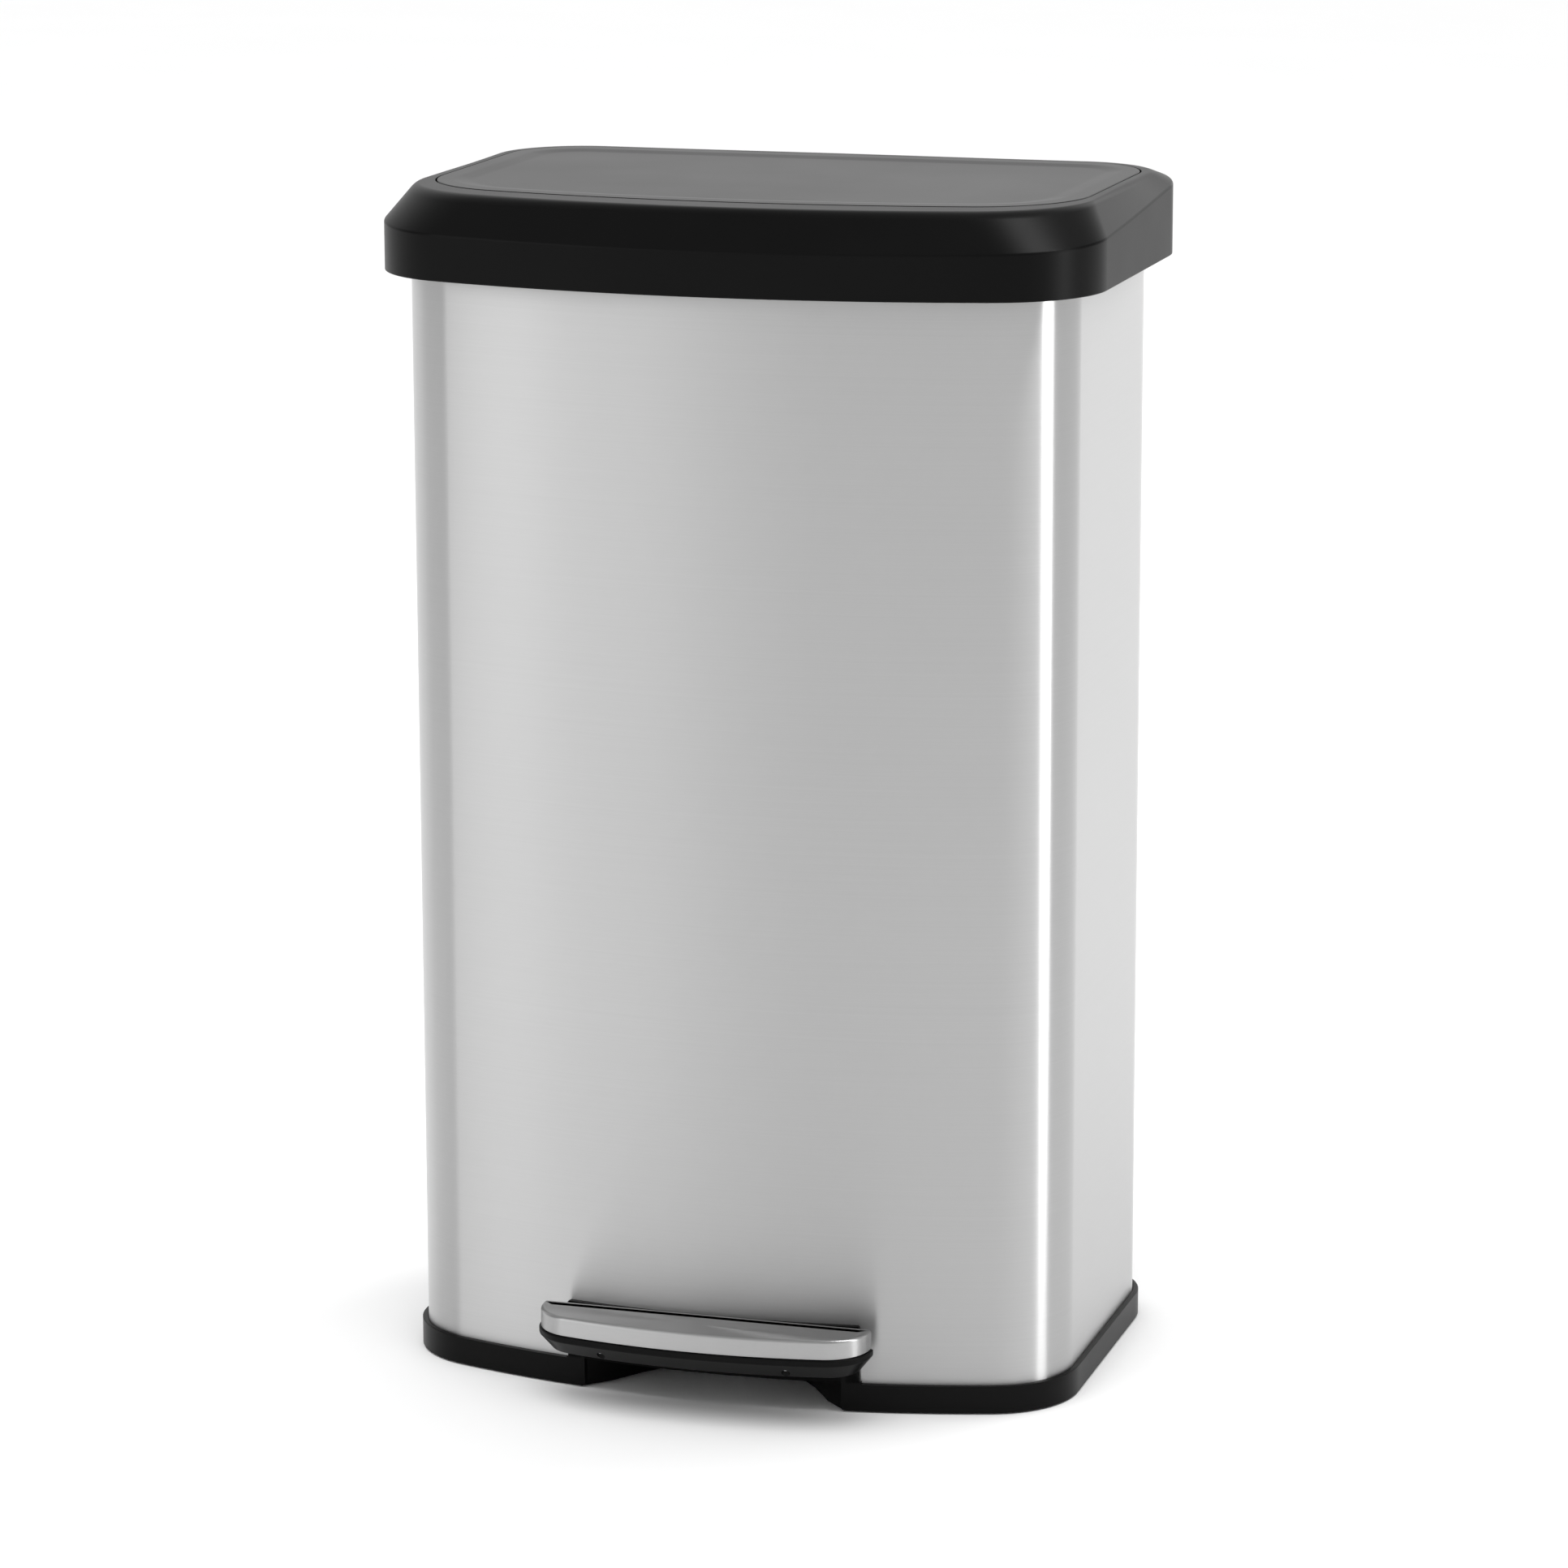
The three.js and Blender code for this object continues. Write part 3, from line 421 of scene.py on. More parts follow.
# Zinc-plated steel: mottled crystals and a slightly uneven shine.
def platedSteel(maker, place, look):
    crystals = maker.add("ShaderNodeTexVoronoi", None, {"Vector": place, "Scale": look["crystalScale"]})
    cloud = maker.noise(place, look["cloudScale"], 4, 0.6)
    tone = maker.remap(crystals * 0.4 + cloud * 0.6, 0.25, 0.7, 0, 1)
    colour = maker.mixColour(tone, look["dark"], look["light"])
    roughness = maker.spreadRound(cloud, 0.3, 0.7, look["roughness"], look["spread"])
    bump = maker.bump(look, cloud)
    return maker.add("ShaderNodeBsdfPrincipled", None, {
        "Base Color": colour, "Metallic": 1.0, "Roughness": roughness, "Normal": bump,
    })


steelLook = {
    "dark": grey(0.5), "light": grey(0.525), "roughness": 0.32, "spread": 0.01,
    "fineStretch": (7, 7, 2600), "broadStretch": (2, 2, 700), "cloudScale": 4,
    "bump": 0.012, "depth": 0.0002, "anisotropy": 1.0, "turn": 0.25,
}
# The pedal's cover: the shell's brushed steel, brushed along its length and a little rougher, with painted
# shade: its colour is set darker than the shell's so the pedal reads dimmer.
shadedPedalSteelLook = {
    **steelLook, "dark": grey(0.44), "light": grey(0.465), "roughness": 0.36,
    "fineStretch": (7, 2400, 2400), "broadStretch": (3, 700, 700), "anisotropy": 0.85,
}
plasticLooks = {
    "black_plastic": {"dark": grey(0.0022), "light": grey(0.003), "roughness": 0.34, "spread": 0.02,
                      "grainScale": 1500, "flowScale": 9, "bump": 0.06, "depth": 0.0002, "specular": 0.085},
    "panel_plastic": {"dark": grey(0.009), "light": grey(0.012), "roughness": 0.34, "spread": 0.02,
                      "grainScale": 1700, "flowScale": 7, "bump": 0.05, "depth": 0.0002, "specular": 0.14},
    "grey_plastic": {"dark": grey(0.032), "light": grey(0.042), "roughness": 0.45, "spread": 0.04,
                     "grainScale": 1200, "flowScale": 8, "bump": 0.12, "depth": 0.0002, "specular": 0.45},
    "nylon": {"dark": (0.62, 0.61, 0.57, 1), "light": (0.7, 0.69, 0.65, 1), "roughness": 0.42, "spread": 0.04,
              "grainScale": 1400, "flowScale": 40, "bump": 0.08, "depth": 0.0002, "specular": 0.5},
    "rubber": {"dark": grey(0.006), "light": grey(0.012), "roughness": 0.75, "spread": 0.06,
               "grainScale": 900, "flowScale": 60, "bump": 0.3, "depth": 0.0004, "specular": 0.3},
}
zincLook = {"dark": (0.5, 0.5, 0.51, 1), "light": (0.66, 0.66, 0.67, 1), "roughness": 0.36, "spread": 0.06,
            "crystalScale": 420, "cloudScale": 60, "bump": 0.08, "depth": 0.0003}

materials = {name: newMaterial(name, mouldedPlastic, look) for name, look in plasticLooks.items()}
materials["brushed_steel"] = newMaterial("brushed_steel", brushedSteel, steelLook)
materials["zinc_steel"] = newMaterial("zinc_steel", platedSteel, zincLook)
shadedPedalSteel = newMaterial("brushed_steel_pedal", brushedSteel, shadedPedalSteelLook)
print("materials made:", len(materials) + 1)


# Steel shell: a sheet bent round the plan, with the doorway for the pedal lever cut out of its foot.
shell = {
    "wall": 0.8, "bottom": 6.4, "top": 611, "edge": 0.25,
    "doorX": (-77, 77), "doorY": (-200, -90), "doorZ": (-20, 47),
}


def makeShell():
    inner = outset(shellPlan, -shell["wall"])
    low, high = shell["bottom"], shell["top"]
    bm = bmesh.new()
    rows = [level(shellPlan, low), level(shellPlan, high), level(inner, high), level(inner, low)]
    addRing(bm, rows, [shell["edge"]] * 4, 2)
    made = objectFrom(bm, "bodyShell")
    cutAway(made, lambda cut: addBox(cut, shell["doorX"], shell["doorY"], shell["doorZ"]))
    return finishPiece(made, "root", "brushed_steel", materials["brushed_steel"], "body_shell")


makeShell()
print("shell made")


# Base: a skirt wrapped round the shell's foot, raised round the recess that the pedal's lever comes out of.
base = {
    "outset": 3.4, "thickness": 3.05, "bottom": 0.8, "top": 15.8, "edge": 1.0, "webBottom": 3, "webTop": 5.5,
    "surroundHalf": 83, "surroundTop": 48.5, "flange": 2.8, "flangeTop": 28, "corner": 0.8, "step": 4,
}
recess = {
    "frontHalf": 73, "front": -117.5, "rearHalf": 41, "rear": -78, "easing": 9, "wall": 3, "ceiling": 43,
    "roof": 3, "mouth": -119.5, "slotHalf": 22, "slotBottom": 7, "slotTop": 38, "slotReach": 20,
    "cutFront": -200, "cutBottom": -5,
}
posts = {"radius": 6, "x": 150, "front": -66, "rear": 88, "top": 57.65}
postPlaces = [(x, y) for y in (posts["front"], posts["rear"]) for x in bothSides(posts["x"])]


class PlanPath:
    # walks a plan from the middle of its front; distances to the left are negative
    def __init__(self, plan):
        bowY, frontX, frontY, meet, rearX, rearY = planKey(plan)
        self.arcs = [
            (0, bowY, plan["bow"], -math.pi / 2, meet),
            (frontX, frontY, plan["frontCorner"], meet, 0),
            (plan["halfWidth"], frontY, rearY),
            (rearX, rearY, plan["rearCorner"], 0, math.pi / 2),
            (rearX, plan["rear"]),
        ]
        self.bow, self.bowY = plan["bow"], bowY
        self.lengths = [
            plan["bow"] * (meet + math.pi / 2), plan["frontCorner"] * -meet, rearY - frontY,
            plan["rearCorner"] * math.pi / 2, rearX,
        ]
        self.half = sum(self.lengths)

    def distanceAt(self, x):
        return self.bow * math.asin(x / self.bow)

    def place(self, distance):
        left = abs(distance)
        which = 0
        while which < 4 and left > self.lengths[which]:
            left -= self.lengths[which]
            which += 1
        piece = self.arcs[which]
        if which == 2:
            point, outward = Vector((piece[0], piece[1] + left, 0)), Vector((1, 0, 0))
        elif which == 4:
            point, outward = Vector((piece[0] - left, piece[1], 0)), Vector((0, 1, 0))
        else:
            turn = piece[3] + left / piece[2]
            outward = Vector((math.cos(turn), math.sin(turn), 0))
            point = Vector((piece[0], piece[1], 0)) + outward * piece[2]
        if distance < 0:
            point.x, outward.x = -point.x, -outward.x
        return point, outward


def wrapRound(bm, path, outline, thickness, bevel):
    # a flat strip drawn as distance and height, cut at even steps and bent round the plan
    part = bmesh.new()
    addPrism(part, outline, "y", 0, thickness, bevel)
    bmesh.ops.triangulate(part, faces=part.faces)
    cuts = int(path.half / base["step"])
    for i in range(-cuts, cuts + 1):
        geometry = part.verts[:] + part.edges[:] + part.faces[:]
        spot = (i * base["step"], 0, 0)
        bmesh.ops.bisect_plane(part, geom=geometry, dist=1e-5, plane_co=spot, plane_no=(1, 0, 0))
    for v in part.verts:
        point, outward = path.place(v.co.x)
        v.co = Vector((point.x, point.y, v.co.z)) - outward * v.co.y
    bmesh.ops.recalc_face_normals(part, faces=part.faces)
    mergeInto(bm, part)


def recessPath(grow):
    # the right half of the recess, from its mouth to the middle of its rear
    easing = recess["easing"]
    return [
        (recess["frontHalf"] + grow, recess["mouth"]),
        (recess["frontHalf"] + grow, recess["front"]),
        (recess["frontHalf"] - easing * 1.2 + grow, recess["front"] + easing),
        (recess["rearHalf"] + easing * 0.8 + grow, recess["rear"] - easing),
        (recess["rearHalf"] + grow * 0.6, recess["rear"] + grow),
    ]


def mirrored(points):
    return [(-x, y) for x, y in reversed(points)]


def makeBase():
    path = PlanPath(outset(shellPlan, base["outset"]))
    low, high, crown = base["bottom"], base["top"], base["surroundTop"]
    opening, shoulder = path.distanceAt(recess["frontHalf"]), path.distanceAt(base["surroundHalf"])
    right = [(opening, recess["ceiling"]), (opening, low), (path.half, low), (path.half, high),
             (shoulder, high), (shoulder, crown)]
    small = base["corner"]
    radii = [small, 1.5, 0, 0, small, small]
    outline = roundPolygon(right + mirrored(right), radii + radii[::-1])
    inner, outer = recessPath(0), recessPath(recess["wall"])
    roofTop = recess["ceiling"] + recess["roof"]
    flange = outset(shellPlan, -shell["wall"] - fitGap)

    def skirtAndRoof(bm):
        wrapRound(bm, path, outline, base["thickness"], base["edge"])
        addPrism(bm, outer + mirrored(outer), "z", recess["ceiling"], roofTop)
        for x, y in postPlaces:
            rows = [circle(x, y, posts["radius"], z, 24) for z in (base["webTop"] - 1, posts["top"])]
            addStack(bm, rows, [0, 0])

    def recessWall(bm):
        band = inner + mirrored(inner) + [(-x, y) for x, y in outer] + list(reversed(outer))
        addPrism(bm, band, "z", low, roofTop, 0.5)

    def liningRing(bm):
        thin = outset(flange, -base["flange"])
        rows = [level(flange, base["webBottom"]), level(flange, base["flangeTop"]),
                level(thin, base["flangeTop"]), level(thin, base["webBottom"])]
        addRing(bm, rows, [0, 0.6, 0.6, 0], 2)

    def floorWeb(bm):
        # a hair inside the flange's faces, so that none lie on each other
        floor = [(p.x, p.y) for p in planPoints(outset(flange, 0.2 - base["flange"]))]
        addPrism(bm, floor, "z", base["webBottom"] + 0.1, base["webTop"])

    def recessShape(cut):
        side = recessPath(recess["wall"] * 0.5)
        mouth = recess["mouth"]
        around = [(x, y if y > mouth else recess["cutFront"]) for x, y in side + mirrored(side)]
        addPrism(cut, around, "z", recess["cutBottom"], recess["ceiling"] + 1)

    def leverSlot(cut):
        half, rear, reach = recess["slotHalf"], recess["rear"], recess["slotReach"]
        heights = (recess["slotBottom"], recess["slotTop"])
        addBox(cut, (-half, half), (rear - reach, rear + reach), heights)

    made = joinedPieces("baseRing", [
        pieceFrom(skirtAndRoof), cutAway(pieceFrom(recessWall), leverSlot),
        cutAway(pieceFrom(liningRing), recessShape), cutAway(pieceFrom(floorWeb), recessShape),
    ])
    return finishPiece(made, "root", "black_plastic", materials["black_plastic"], "base_ring")


makeBase()
print("base made")


# Top collar: a moulded rim over the shell's edge, which carries the bucket.
collar = {
    "opening": {"halfWidth": 174, "front": -110, "rear": 88, "bow": 507, "frontCorner": 42, "rearCorner": 32},
    "outset": 2.2, "lipBottom": 606, "deckTop": 614.3, "deck": 2.5, "skirtBottom": 592, "skirt": 2.4,
    "slotX": (-8.5, 12.5), "slotY": (95, 118.9),
}


def makeCollar():
    outer = outset(shellPlan, collar["outset"])
    skirtOuter = outset(shellPlan, -shell["wall"] - fitGap)
    skirtInner = outset(skirtOuter, -collar["skirt"])
    groove = outset(shellPlan, fitGap)
    top, grooveTop = collar["deckTop"], shell["top"] + fitGap
    under = top - collar["deck"]
    rows = [
        level(outer, collar["lipBottom"]), level(outer, top), level(collar["opening"], top),
        level(collar["opening"], under), level(skirtInner, under), level(skirtInner, collar["skirtBottom"]),
        level(skirtOuter, collar["skirtBottom"]), level(skirtOuter, grooveTop), level(groove, grooveTop),
        level(groove, collar["lipBottom"]),
    ]
    bm = bmesh.new()
    addRing(bm, rows, [0.4, 1.2, 0.8, 0.3, 0, 0.4, 0.4, 0, 0, 0.3], 3)
    made = objectFrom(bm, "topCollar")
    cutAway(made, lambda cut: addBox(cut, collar["slotX"], collar["slotY"], (under - 1, top + 1)))
    return finishPiece(made, "root", "black_plastic", materials["black_plastic"], "top_collar")


# Inner bucket: a tapered tub with a turned-out rim that hangs on the collar.
bucket = {"clearance": 2, "taper": 8, "bottom": 66, "foot": 8, "wall": 2, "rimOutset": 4.6, "rim": 3.6}


def makeBucket():
    outer = outset(collar["opening"], -bucket["clearance"])
    narrow = outset(outer, -bucket["taper"])
    rimPlan = outset(collar["opening"], bucket["rimOutset"])
    rimBottom = collar["deckTop"] + fitGap
    rimTop = rimBottom + bucket["rim"]
    foot, wall = bucket["foot"], bucket["wall"]
    rows = [
        level(narrow, bucket["bottom"]), level(outer, rimBottom), level(rimPlan, rimBottom),
        level(rimPlan, rimTop), level(outset(outer, -wall), rimTop),
        level(outset(narrow, -wall), bucket["bottom"] + wall + 1),
    ]
    under = level(outset(narrow, -foot - 4), bucket["bottom"])
    inside = level(outset(narrow, -foot - 6), bucket["bottom"] + wall + 1)
    bm = bmesh.new()
    addStack(bm, [under] + rows + [inside], [0, foot, 0.3, 0.5, 1.4, 1.2, foot, 0], 5)
    made = objectFrom(bm, "innerBucket")
    return finishPiece(made, "bucket", "grey_plastic", materials["grey_plastic"], "inner_bucket")


makeCollar()
makeBucket()
print("collar and bucket made")


# Lid: an upright skirt, a chamfer whose lower edge climbs towards the rear, and a flat rim round the panel.
lid = {
    "skirtPlan": {
        "halfWidth": 198.7, "front": -137, "rear": 139, "bow": 570, "frontCorner": 63.6, "rearCorner": 49,
    },
    "rimPlan": {
        "halfWidth": 187.9, "front": -121.7, "rear": 137.2, "bow": 596, "frontCorner": 71.5, "rearCorner": 48,
    },
    "bottom": 605, "top": 650, "creaseFront": 629, "creaseRear": 647.8, "creaseStraight": 0.55,
    "wall": 2.5, "seat": 646, "underside": 643.5, "rimRound": 9, "rimInset": 0.9, "creaseRound": 2.2,
    "seal": 2.2, "sealBottom": 617, "sealTop": 644, "sealTopRear": 641,
}
panel = {
    "plan": {
        "halfWidth": 180.5, "front": -97, "rear": 128.6, "bow": 600, "frontCorner": 62, "rearCorner": 40,
    },
    "seam": 0.9, "ledge": 5, "band": 10, "slope": 9, "top": 650.2, "dish": 649.4, "bottom": 643.9,
}
liner = {"inset": 7.5, "rear": 118.6, "bottom": 634, "plate": 2.5, "wall": 2.2, "top": 643.1}
hinge = {
    "y": 133, "z": 607, "knuckle": 5, "lugInner": 59, "lugOuter": 67, "lugTop": 640,
    "eyeGap": 1, "eyeWidth": 8, "notchTop": 614.6, "notchMargin": 2,
    "housingHalf": 96, "housingBottom": 560, "housingTop": 598, "housingRear": 136, "end": 2.2,
    "notchDepth": 3, "notchRear": 160, "notchBottom": 590,
}


def creaseHeight(point):
    front, rear = lid["skirtPlan"]["front"], lid["skirtPlan"]["rear"]
    along = min(max((point.y - front) / (rear - front), 0), 1)
    share = lid["creaseStraight"] * along + (1 - lid["creaseStraight"]) * along ** 2
    return lid["creaseFront"] + (lid["creaseRear"] - lid["creaseFront"]) * share


def hingeOutline(top, isEye):
    # a knuckle about the pin with a straight web to the height given
    y, z, r = hinge["y"], hinge["z"], hinge["knuckle"]
    sign = 1 if isEye else -1
    turns = [math.pi * i / 16 for i in range(17)]
    return [(y + r * math.cos(t), z + sign * r * math.sin(t)) for t in turns] + [(y - r, top), (y + r, top)]


def pairOfSpans(near, far):
    return [(near, far), (-far, -near)]


def makeLidFrame():
    skirt, rim = lid["skirtPlan"], lid["rimPlan"]
    skirtInner = outset(skirt, -lid["wall"])
    hole = outset(panel["plan"], panel["seam"])
    ledge = outset(panel["plan"], -panel["ledge"])
    rows = [
        level(skirt, lid["bottom"]), level(skirt, creaseHeight),
        level(outset(rim, -lid["rimInset"]), lid["top"]),
        level(hole, lid["top"]), level(hole, lid["seat"]), level(ledge, lid["seat"]),
        level(ledge, lid["underside"]), level(outset(rim, -lid["wall"] - 1.5), lid["underside"]),
        level(skirtInner, lambda p: creaseHeight(p) - 3), level(skirtInner, lid["bottom"]),
    ]
    bm = bmesh.new()
    addRing(bm, rows, [0.7, lid["creaseRound"], lid["rimRound"], 0.45, 0, 0, 0, 0, 0, 0.5], 5)
    made = objectFrom(bm, "lidFrame")
    reach = hinge["eyeGap"] + hinge["eyeWidth"] + hinge["notchMargin"]
    notchY = (hinge["y"] - hinge["knuckle"] - hinge["notchDepth"], hinge["notchRear"])
    notchZ = (hinge["notchBottom"], hinge["notchTop"])

    def notches(cut):
        for x in pairOfSpans(hinge["lugInner"] - reach, hinge["lugOuter"] + reach):
            addBox(cut, x, notchY, notchZ)

    def sealTop(point):
        return lid["sealTopRear"] if point.y > liner["rear"] - 30 else lid["sealTop"]

    def sealAndLugs(bm):
        sealOuter = outset(shellPlan, -shell["wall"])
        sealInner = outset(sealOuter, -lid["seal"])
        rows = [level(sealOuter, lid["sealBottom"]), level(sealOuter, sealTop),
                level(sealInner, sealTop), level(sealInner, lid["sealBottom"])]
        addRing(bm, rows, [0.5, 0, 0, 0.5], 3)
        for x in pairOfSpans(hinge["lugInner"], hinge["lugOuter"]):
            addPrism(bm, hingeOutline(hinge["lugTop"], False), "x", x[0], x[1], 0.5)

    cutAway(made, notches)
    made = joinedPieces("lidFrame", [made, pieceFrom(sealAndLugs)])
    return finishPiece(made, "lid", "black_plastic", materials["black_plastic"], "lid_frame")


def makeLidPanel():
    plan = panel["plan"]
    under = outset(plan, -panel["ledge"] - 0.8)
    seat = lid["seat"] + fitGap
    dish = outset(plan, -panel["band"] - panel["slope"])
    rows = [
        level(under, panel["bottom"]), level(under, seat), level(plan, seat), level(plan, panel["top"]),
        level(outset(plan, -panel["band"]), panel["top"]), level(dish, panel["dish"]),
        level(outset(dish, -12), panel["dish"]),
    ]
    bm = bmesh.new()
    addStack(bm, rows, [0, 0, 0.3, 0.7, 40, 40, 0], 6)
    made = objectFrom(bm, "lidPanel")
    return finishPiece(made, "lid", "panel_plastic", materials["panel_plastic"], "lid_panel")


def makeLidLiner():
    outer = {**outset(panel["plan"], -liner["inset"]), "rear": liner["rear"]}
    inner = outset(outer, -liner["wall"])
    low, plate = liner["bottom"], liner["bottom"] + liner["plate"]
    rows = [
        level(outset(outer, -12), low), level(outer, low), level(outer, liner["top"]),
        level(inner, liner["top"]), level(inner, plate), level(outset(inner, -12), plate),
    ]
    bm = bmesh.new()
    addStack(bm, rows, [0, 3, 0.6, 0.6, 1, 0], 4)
    made = objectFrom(bm, "lidLiner")
    return finishPiece(made, "lid", "black_plastic", materials["black_plastic"], "lid_liner")


def makeHousing():
    front = shellPlan["rear"] + fitGap
    low, high, rear = hinge["housingBottom"], hinge["housingTop"], hinge["housingRear"]
    outline = roundPolygon([(front, low), (rear, low), (rear, high), (front, high)], [0.5, 8, 1.5, 0.5], 7)
    bm = bmesh.new()
    half = hinge["housingHalf"]
    addPrism(bm, outline, "x", -half, half, hinge["end"], 4)
    near, far = hinge["lugInner"] - hinge["eyeGap"], hinge["lugOuter"] + hinge["eyeGap"]
    spans = pairOfSpans(near - hinge["eyeWidth"], near) + pairOfSpans(far, far + hinge["eyeWidth"])
    for x in spans:
        addPrism(bm, hingeOutline(high - 2, True), "x", x[0], x[1], 0.5)
    made = objectFrom(bm, "hingeHousing")
    return finishPiece(made, "root", "black_plastic", materials["black_plastic"], "hinge_housing")


makeLidFrame()
makeLidPanel()
makeLidLiner()
makeHousing()
print("lid and hinge made")


# Pedal: a moulded base with a folded steel cover snapped over it.
pedal = {
    "plan": {
        "halfWidth": 92.5, "front": -163.2, "rear": -128.6, "bow": 370, "frontCorner": 25, "rearCorner": 1.2,
    },
    "top": 51, "bandBottom": 40.5, "steel": 1, "round": 1.8, "lip": 1.1, "lipDrop": 3.2,
    "bottom": 28, "undercut": 8, "endCut": 6,
    "pocketHalf": 60, "pocketY": (-157.3, -120), "pocketZ": (36, 44),
    "screwX": 52, "screwY": -154.2, "screwRecess": 2.4, "screwSeat": 34,
}


def drawIn(plan, front, ends, rear=0):
    return {
        **plan,
        "front": plan["front"] + front,
        "rear": plan["rear"] - rear,
        "halfWidth": plan["halfWidth"] - ends,
        "bow": plan["bow"] - front,
        "frontCorner": plan["frontCorner"] - front,
    }


def makePedalCover():
    inner = outset(pedal["plan"], -pedal["steel"])
    under = pedal["top"] - pedal["steel"]
    rows = [
        level(outset(inner, -6), under), level(inner, under), level(inner, pedal["bandBottom"]),
        level(pedal["plan"], pedal["bandBottom"]), level(pedal["plan"], pedal["top"]),
        level(outset(pedal["plan"], -6), pedal["top"]),
    ]
    bm = bmesh.new()
    addStack(bm, rows, [0, 0.8, 0.2, 0.2, pedal["round"], 0], 5)
    made = objectFrom(bm, "pedalCover")
    # the cover takes the darker copy of the steel, which carries painted shade
    return finishPiece(made, "pedal", "brushed_steel", shadedPedalSteel, "pedal_cover")


def makePedalBase():
    core = outset(pedal["plan"], -pedal["steel"] - fitGap)
    lip = drawIn(pedal["plan"], -pedal["lip"], -pedal["lip"])
    lipTop = pedal["bandBottom"] - fitGap
    coreTop = pedal["top"] - pedal["steel"] - fitGap
    foot = drawIn(pedal["plan"], pedal["undercut"], pedal["endCut"])
    rows = [
        level(drawIn(foot, 5, 5, 3), pedal["bottom"]), level(foot, pedal["bottom"]),
        level(lip, lipTop - pedal["lipDrop"]), level(lip, lipTop), level(core, lipTop), level(core, coreTop),
    ]
    bm = bmesh.new()
    addStack(bm, rows, [0, 1.2, 1.6, 0.7, 0, 0], 5)
    made = objectFrom(bm, "pedalBase")

    def hollows(cut):
        half = pedal["pocketHalf"]
        addBox(cut, (-half, half), pedal["pocketY"], pedal["pocketZ"])
        y, radius, depths = pedal["screwY"], pedal["screwRecess"], (pedal["bottom"] - 3, pedal["screwSeat"])
        for x in bothSides(pedal["screwX"]):
            addStack(cut, [circle(x, y, radius, z, 24) for z in depths], [0, 0])

    cutAway(made, hollows)
    return finishPiece(made, "pedal", "black_plastic", materials["black_plastic"], "pedal_base")


makePedalCover()
makePedalBase()
print("pedal made")


# Round rubber pieces: the feet and the lid's two bumpers.
feet = {"radius": 12, "height": 2.6, "x": 146, "front": -78, "rear": 98, "edge": 0.8}
bumpers = {"radius": 4, "x": 150, "y": -91, "top": 633.65, "height": 2.2, "edge": 0.7}


def makeDiscs(name, places, radius, low, high, edge, body, *nodes):
    bm = bmesh.new()
    for x, y in places:
        rows = [circle(x, y, radius * 0.5, low), circle(x, y, radius, low),
                circle(x, y, radius, high), circle(x, y, radius * 0.5, high)]
        addStack(bm, rows, [0, edge, edge, 0], 4)
    made = objectFrom(bm, name)
    return finishPiece(made, body, "rubber", materials["rubber"], *nodes)


footPlaces = [(x, y) for y in (feet["front"], feet["rear"]) for x in bothSides(feet["x"])]
footNames = [f"foot_pad_{end}_{side}" for end in ("front", "rear") for side in ("left", "right")]
makeDiscs("footPads", footPlaces, feet["radius"], 0, feet["height"], feet["edge"], "root", *footNames)
bumperPlaces = [(x, bumpers["y"]) for x in bothSides(bumpers["x"])]
bumperLow = bumpers["top"] - bumpers["height"]
makeDiscs("lidBumpers", bumperPlaces, bumpers["radius"], bumperLow, bumpers["top"], bumpers["edge"], "lid",
          "lid_bumper_left", "lid_bumper_right")


# Screws: one tree sets a cross-headed screw on every point of a mesh.
def buildScrewTree():
    tree = bpy.data.node_groups.new("screwSet", "GeometryNodeTree")
    face = tree.interface
    face.new_socket("Geometry", in_out="INPUT", socket_type="NodeSocketGeometry")
    for name in ("Head Radius", "Head Height", "Shank Radius", "Length", "Recess Width"):
        face.new_socket(name, in_out="INPUT", socket_type="NodeSocketFloat")
    face.new_socket("Turn", in_out="INPUT", socket_type="NodeSocketVector")
    face.new_socket("Material", in_out="INPUT", socket_type="NodeSocketMaterial")
    face.new_socket("Geometry", in_out="OUTPUT", socket_type="NodeSocketGeometry")
    maker = NodeMaker(tree)
    source = tree.nodes.new("NodeGroupInput")
    given = {socket.name: Wire(maker, socket) for socket in source.outputs if socket.name}

    def raised(mesh, height):
        offset = maker.add("ShaderNodeCombineXYZ", None, {"Z": height})
        return maker.add("GeometryNodeTransform", None, {"Geometry": mesh, "Translation": offset})

    head = maker.add("GeometryNodeMeshCone", None, {
        "Vertices": 28, "Radius Top": given["Head Radius"] * 0.68, "Radius Bottom": given["Head Radius"],
        "Depth": given["Head Height"],
    })
    shank = maker.add("GeometryNodeMeshCylinder", None, {
        "Vertices": 16, "Radius": given["Shank Radius"], "Depth": given["Length"],
    })
    lowered = raised(shank, given["Length"] * -0.5)
    bars = []
    for axis, across in (("X", "Y"), ("Y", "X")):
        size = maker.add("ShaderNodeCombineXYZ", None, {
            axis: given["Head Radius"] * 1.05, across: given["Recess Width"], "Z": given["Head Height"],
        })
        bars.append(raised(maker.add("GeometryNodeMeshCube", None, {"Size": size}), given["Head Height"]))
    cut = maker.add("GeometryNodeMeshBoolean", {"operation": "DIFFERENCE"}, {"Mesh 1": head, "Mesh 2": bars})
    screw = maker.add("GeometryNodeJoinGeometry", None, {"Geometry": [cut, lowered]})
    spread = maker.add("GeometryNodeInstanceOnPoints", None, {
        "Points": given["Geometry"], "Instance": screw, "Rotation": given["Turn"],
    })
    real = maker.add("GeometryNodeRealizeInstances", None, {"Geometry": spread})
    dressed = maker.add("GeometryNodeSetMaterial", None, {"Geometry": real, "Material": given["Material"]})
    maker.add("NodeGroupOutput", None, {"Geometry": dressed})
    return tree


